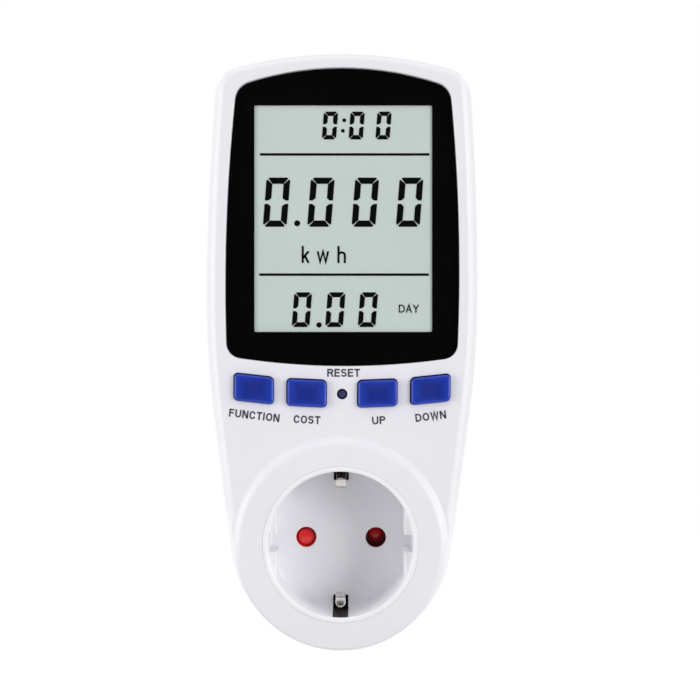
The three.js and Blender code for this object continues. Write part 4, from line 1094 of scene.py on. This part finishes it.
def build_keys():
    for name in KEY_NAMES:
        x, z = key_centre(name)
        node = f"{name}_key"
        face, back = lowest(node).y, highest(node).y
        inner, flange = back - 0.8, key_outline(x, z, KEY_FLANGE)
        rings = [(back, flange), (inner, flange), (inner, key_outline(x, z, 0.0))]
        for inset, down in rounding(1, 6):
            rings.append((face + KEY_EDGE_DROP * down, key_outline(x, z, -KEY_EDGE * inset)))
        for k in range(1, 11):
            share = k / 10
            fall = KEY_DISH_DEPTH * (1 - math.cos(share * math.pi)) / 2
            rings.append((face + fall, key_outline(x, z, -KEY_EDGE - KEY_DISH * share)))
        key = loft(f"{name}_cap", rings)
        finish_piece(key, "key_plastic", node, degrees=42, body=f"{name}_button")


def build_reset_pin():
    """A pin with a soft edge, on a foot that the casing keeps in."""
    front, rear = lowest("reset_key").y, highest("reset_key").y
    r, foot_r, foot = 1.0, 2.2, 0.8
    profile = [(AXIS_R, front), (r - 0.38, front), (r - 0.14, front + 0.07), (r - 0.04, front + 0.25)]
    profile += [(r, rear - foot), (foot_r, rear - foot), (foot_r, rear), (AXIS_R, rear)]
    pin = turned("reset_pin", profile, 48, RESET_HOLE)
    finish_piece(pin, "key_plastic", "reset_key", body="reset_button", material="reset")


# ---- CAD nodes that show as they are


def dress_cad_nodes():
    """Gives every CAD node its slot's material and a fine round on its edges."""
    slots = {part["node"]: part["material_slot"] for part in frame["record"]["subparts"]}
    for name, node in frame["nodes"].items():
        node.data.materials.clear()
        node.data.materials.append(MATERIALS[slots[name]])
        if node.hide_render:
            continue
        bevel = node.modifiers.new("round_edges", "BEVEL")
        bevel.width = 0.12 * MM
        bevel.segments = 2
        bevel.limit_method = "ANGLE"
        bevel.angle_limit = math.radians(40)
        bevel.harden_normals = True
        for polygon in node.data.polygons:
            polygon.use_smooth = True


# ---- stage


def build_stage():
    half, drop = 0.25, 0.0003
    z = CAD_BOX[0][2] - drop
    mesh = bpy.data.meshes.new("floor")
    corners = [(-half, -half, z), (half, -half, z), (half, half, z), (-half, half, z)]
    mesh.from_pydata(corners, [], [(0, 1, 2, 3)])
    floor = make_object("floor", mesh)
    material, tree, shader = new_material("pale_floor")
    feed(tree, shader, {
        "Base Color": blend_colours(tree, noise(tree, 0.004, 2), (0.10, 0.10, 0.101), (0.13, 0.13, 0.131)),
        "Roughness": 0.9,
        "Specular IOR Level": 0.1,
        "Emission Color": (1, 1, 1, 1),
        "Emission Strength": 0.92,
    })
    mesh.materials.append(material)
    floor.visible_diffuse = False


def softbox(name, place, size, power):
    """A rectangular light that faces the object."""
    target = Vector((0, -0.05, 0.05))
    data = bpy.data.lights.new(name, "AREA")
    data.shape = "RECTANGLE"
    data.size, data.size_y = size
    data.energy = power
    light = make_object(name, data)
    light.location = place
    light.rotation_euler = (target - Vector(place)).to_track_quat("-Z", "Y").to_euler()


def build_lights():
    softbox("key_right", (1.75, -1.47, 0.28), (0.97, 0.9), 19.5)
    softbox("fill_left", (-1.3, -0.68, 0.12), (0.45, 0.8), 6.2)
    softbox("side_left", (-1.6, -0.25, 0.1), (0.5, 0.8), 3.6)
    softbox("side_right", (1.6, -0.25, 0.1), (0.5, 0.8), 1.4)
    softbox("overhead", (0.0, -0.3, 1.2), (1.0, 0.8), 2.0)


def build_world():
    """White where the camera looks past the object, and a grey room, dark behind the camera, for the rest."""
    world = bpy.data.worlds.new("studio")
    world.use_nodes = True
    tree = world.node_tree
    shown = feed(tree, tree.nodes["Background"], {"Color": (1, 1, 1, 1), "Strength": 1.0})
    level = spread(tree, one_axis(tree, coordinates(tree, "Generated"), "Y"), 0.01, 1.0, -0.965, -0.8)
    room = add_node(tree, "Background", {"Color": level, "Strength": 0.73})
    seen = add_node(tree, "LightPath", {}).outputs["Is Camera Ray"]
    inputs = {"Fac": seen, 1: room.outputs["Background"], 2: shown.outputs["Background"]}
    feed(tree, tree.nodes["World Output"], {"Surface": add_node(tree, "MixShader", inputs).outputs["Shader"]})
    bpy.context.scene.world = world


def build_camera():
    data = bpy.data.cameras.new("camera")
    data.sensor_width = 36
    data.lens = 88.1
    data.clip_start = 0.01
    camera = make_object("camera", data)
    camera.location = (0.00221, -0.508, 0.0511)
    camera.rotation_euler = (math.radians(90), math.radians(-0.27), 0)
    bpy.context.scene.camera = camera
    bpy.context.scene.view_settings.view_transform = "Standard"


build_camera()
build_front_shell()
build_rear_shell()
build_outlet()
build_shutter()
build_earth_clips()
build_plug_earths()
build_pins()
for corner in SCREW_PLACES:
    build_screw(corner)
build_window()
build_display()
build_labels()
build_keys()
build_reset_pin()
dress_cad_nodes()
build_lights()
build_world()
build_stage()
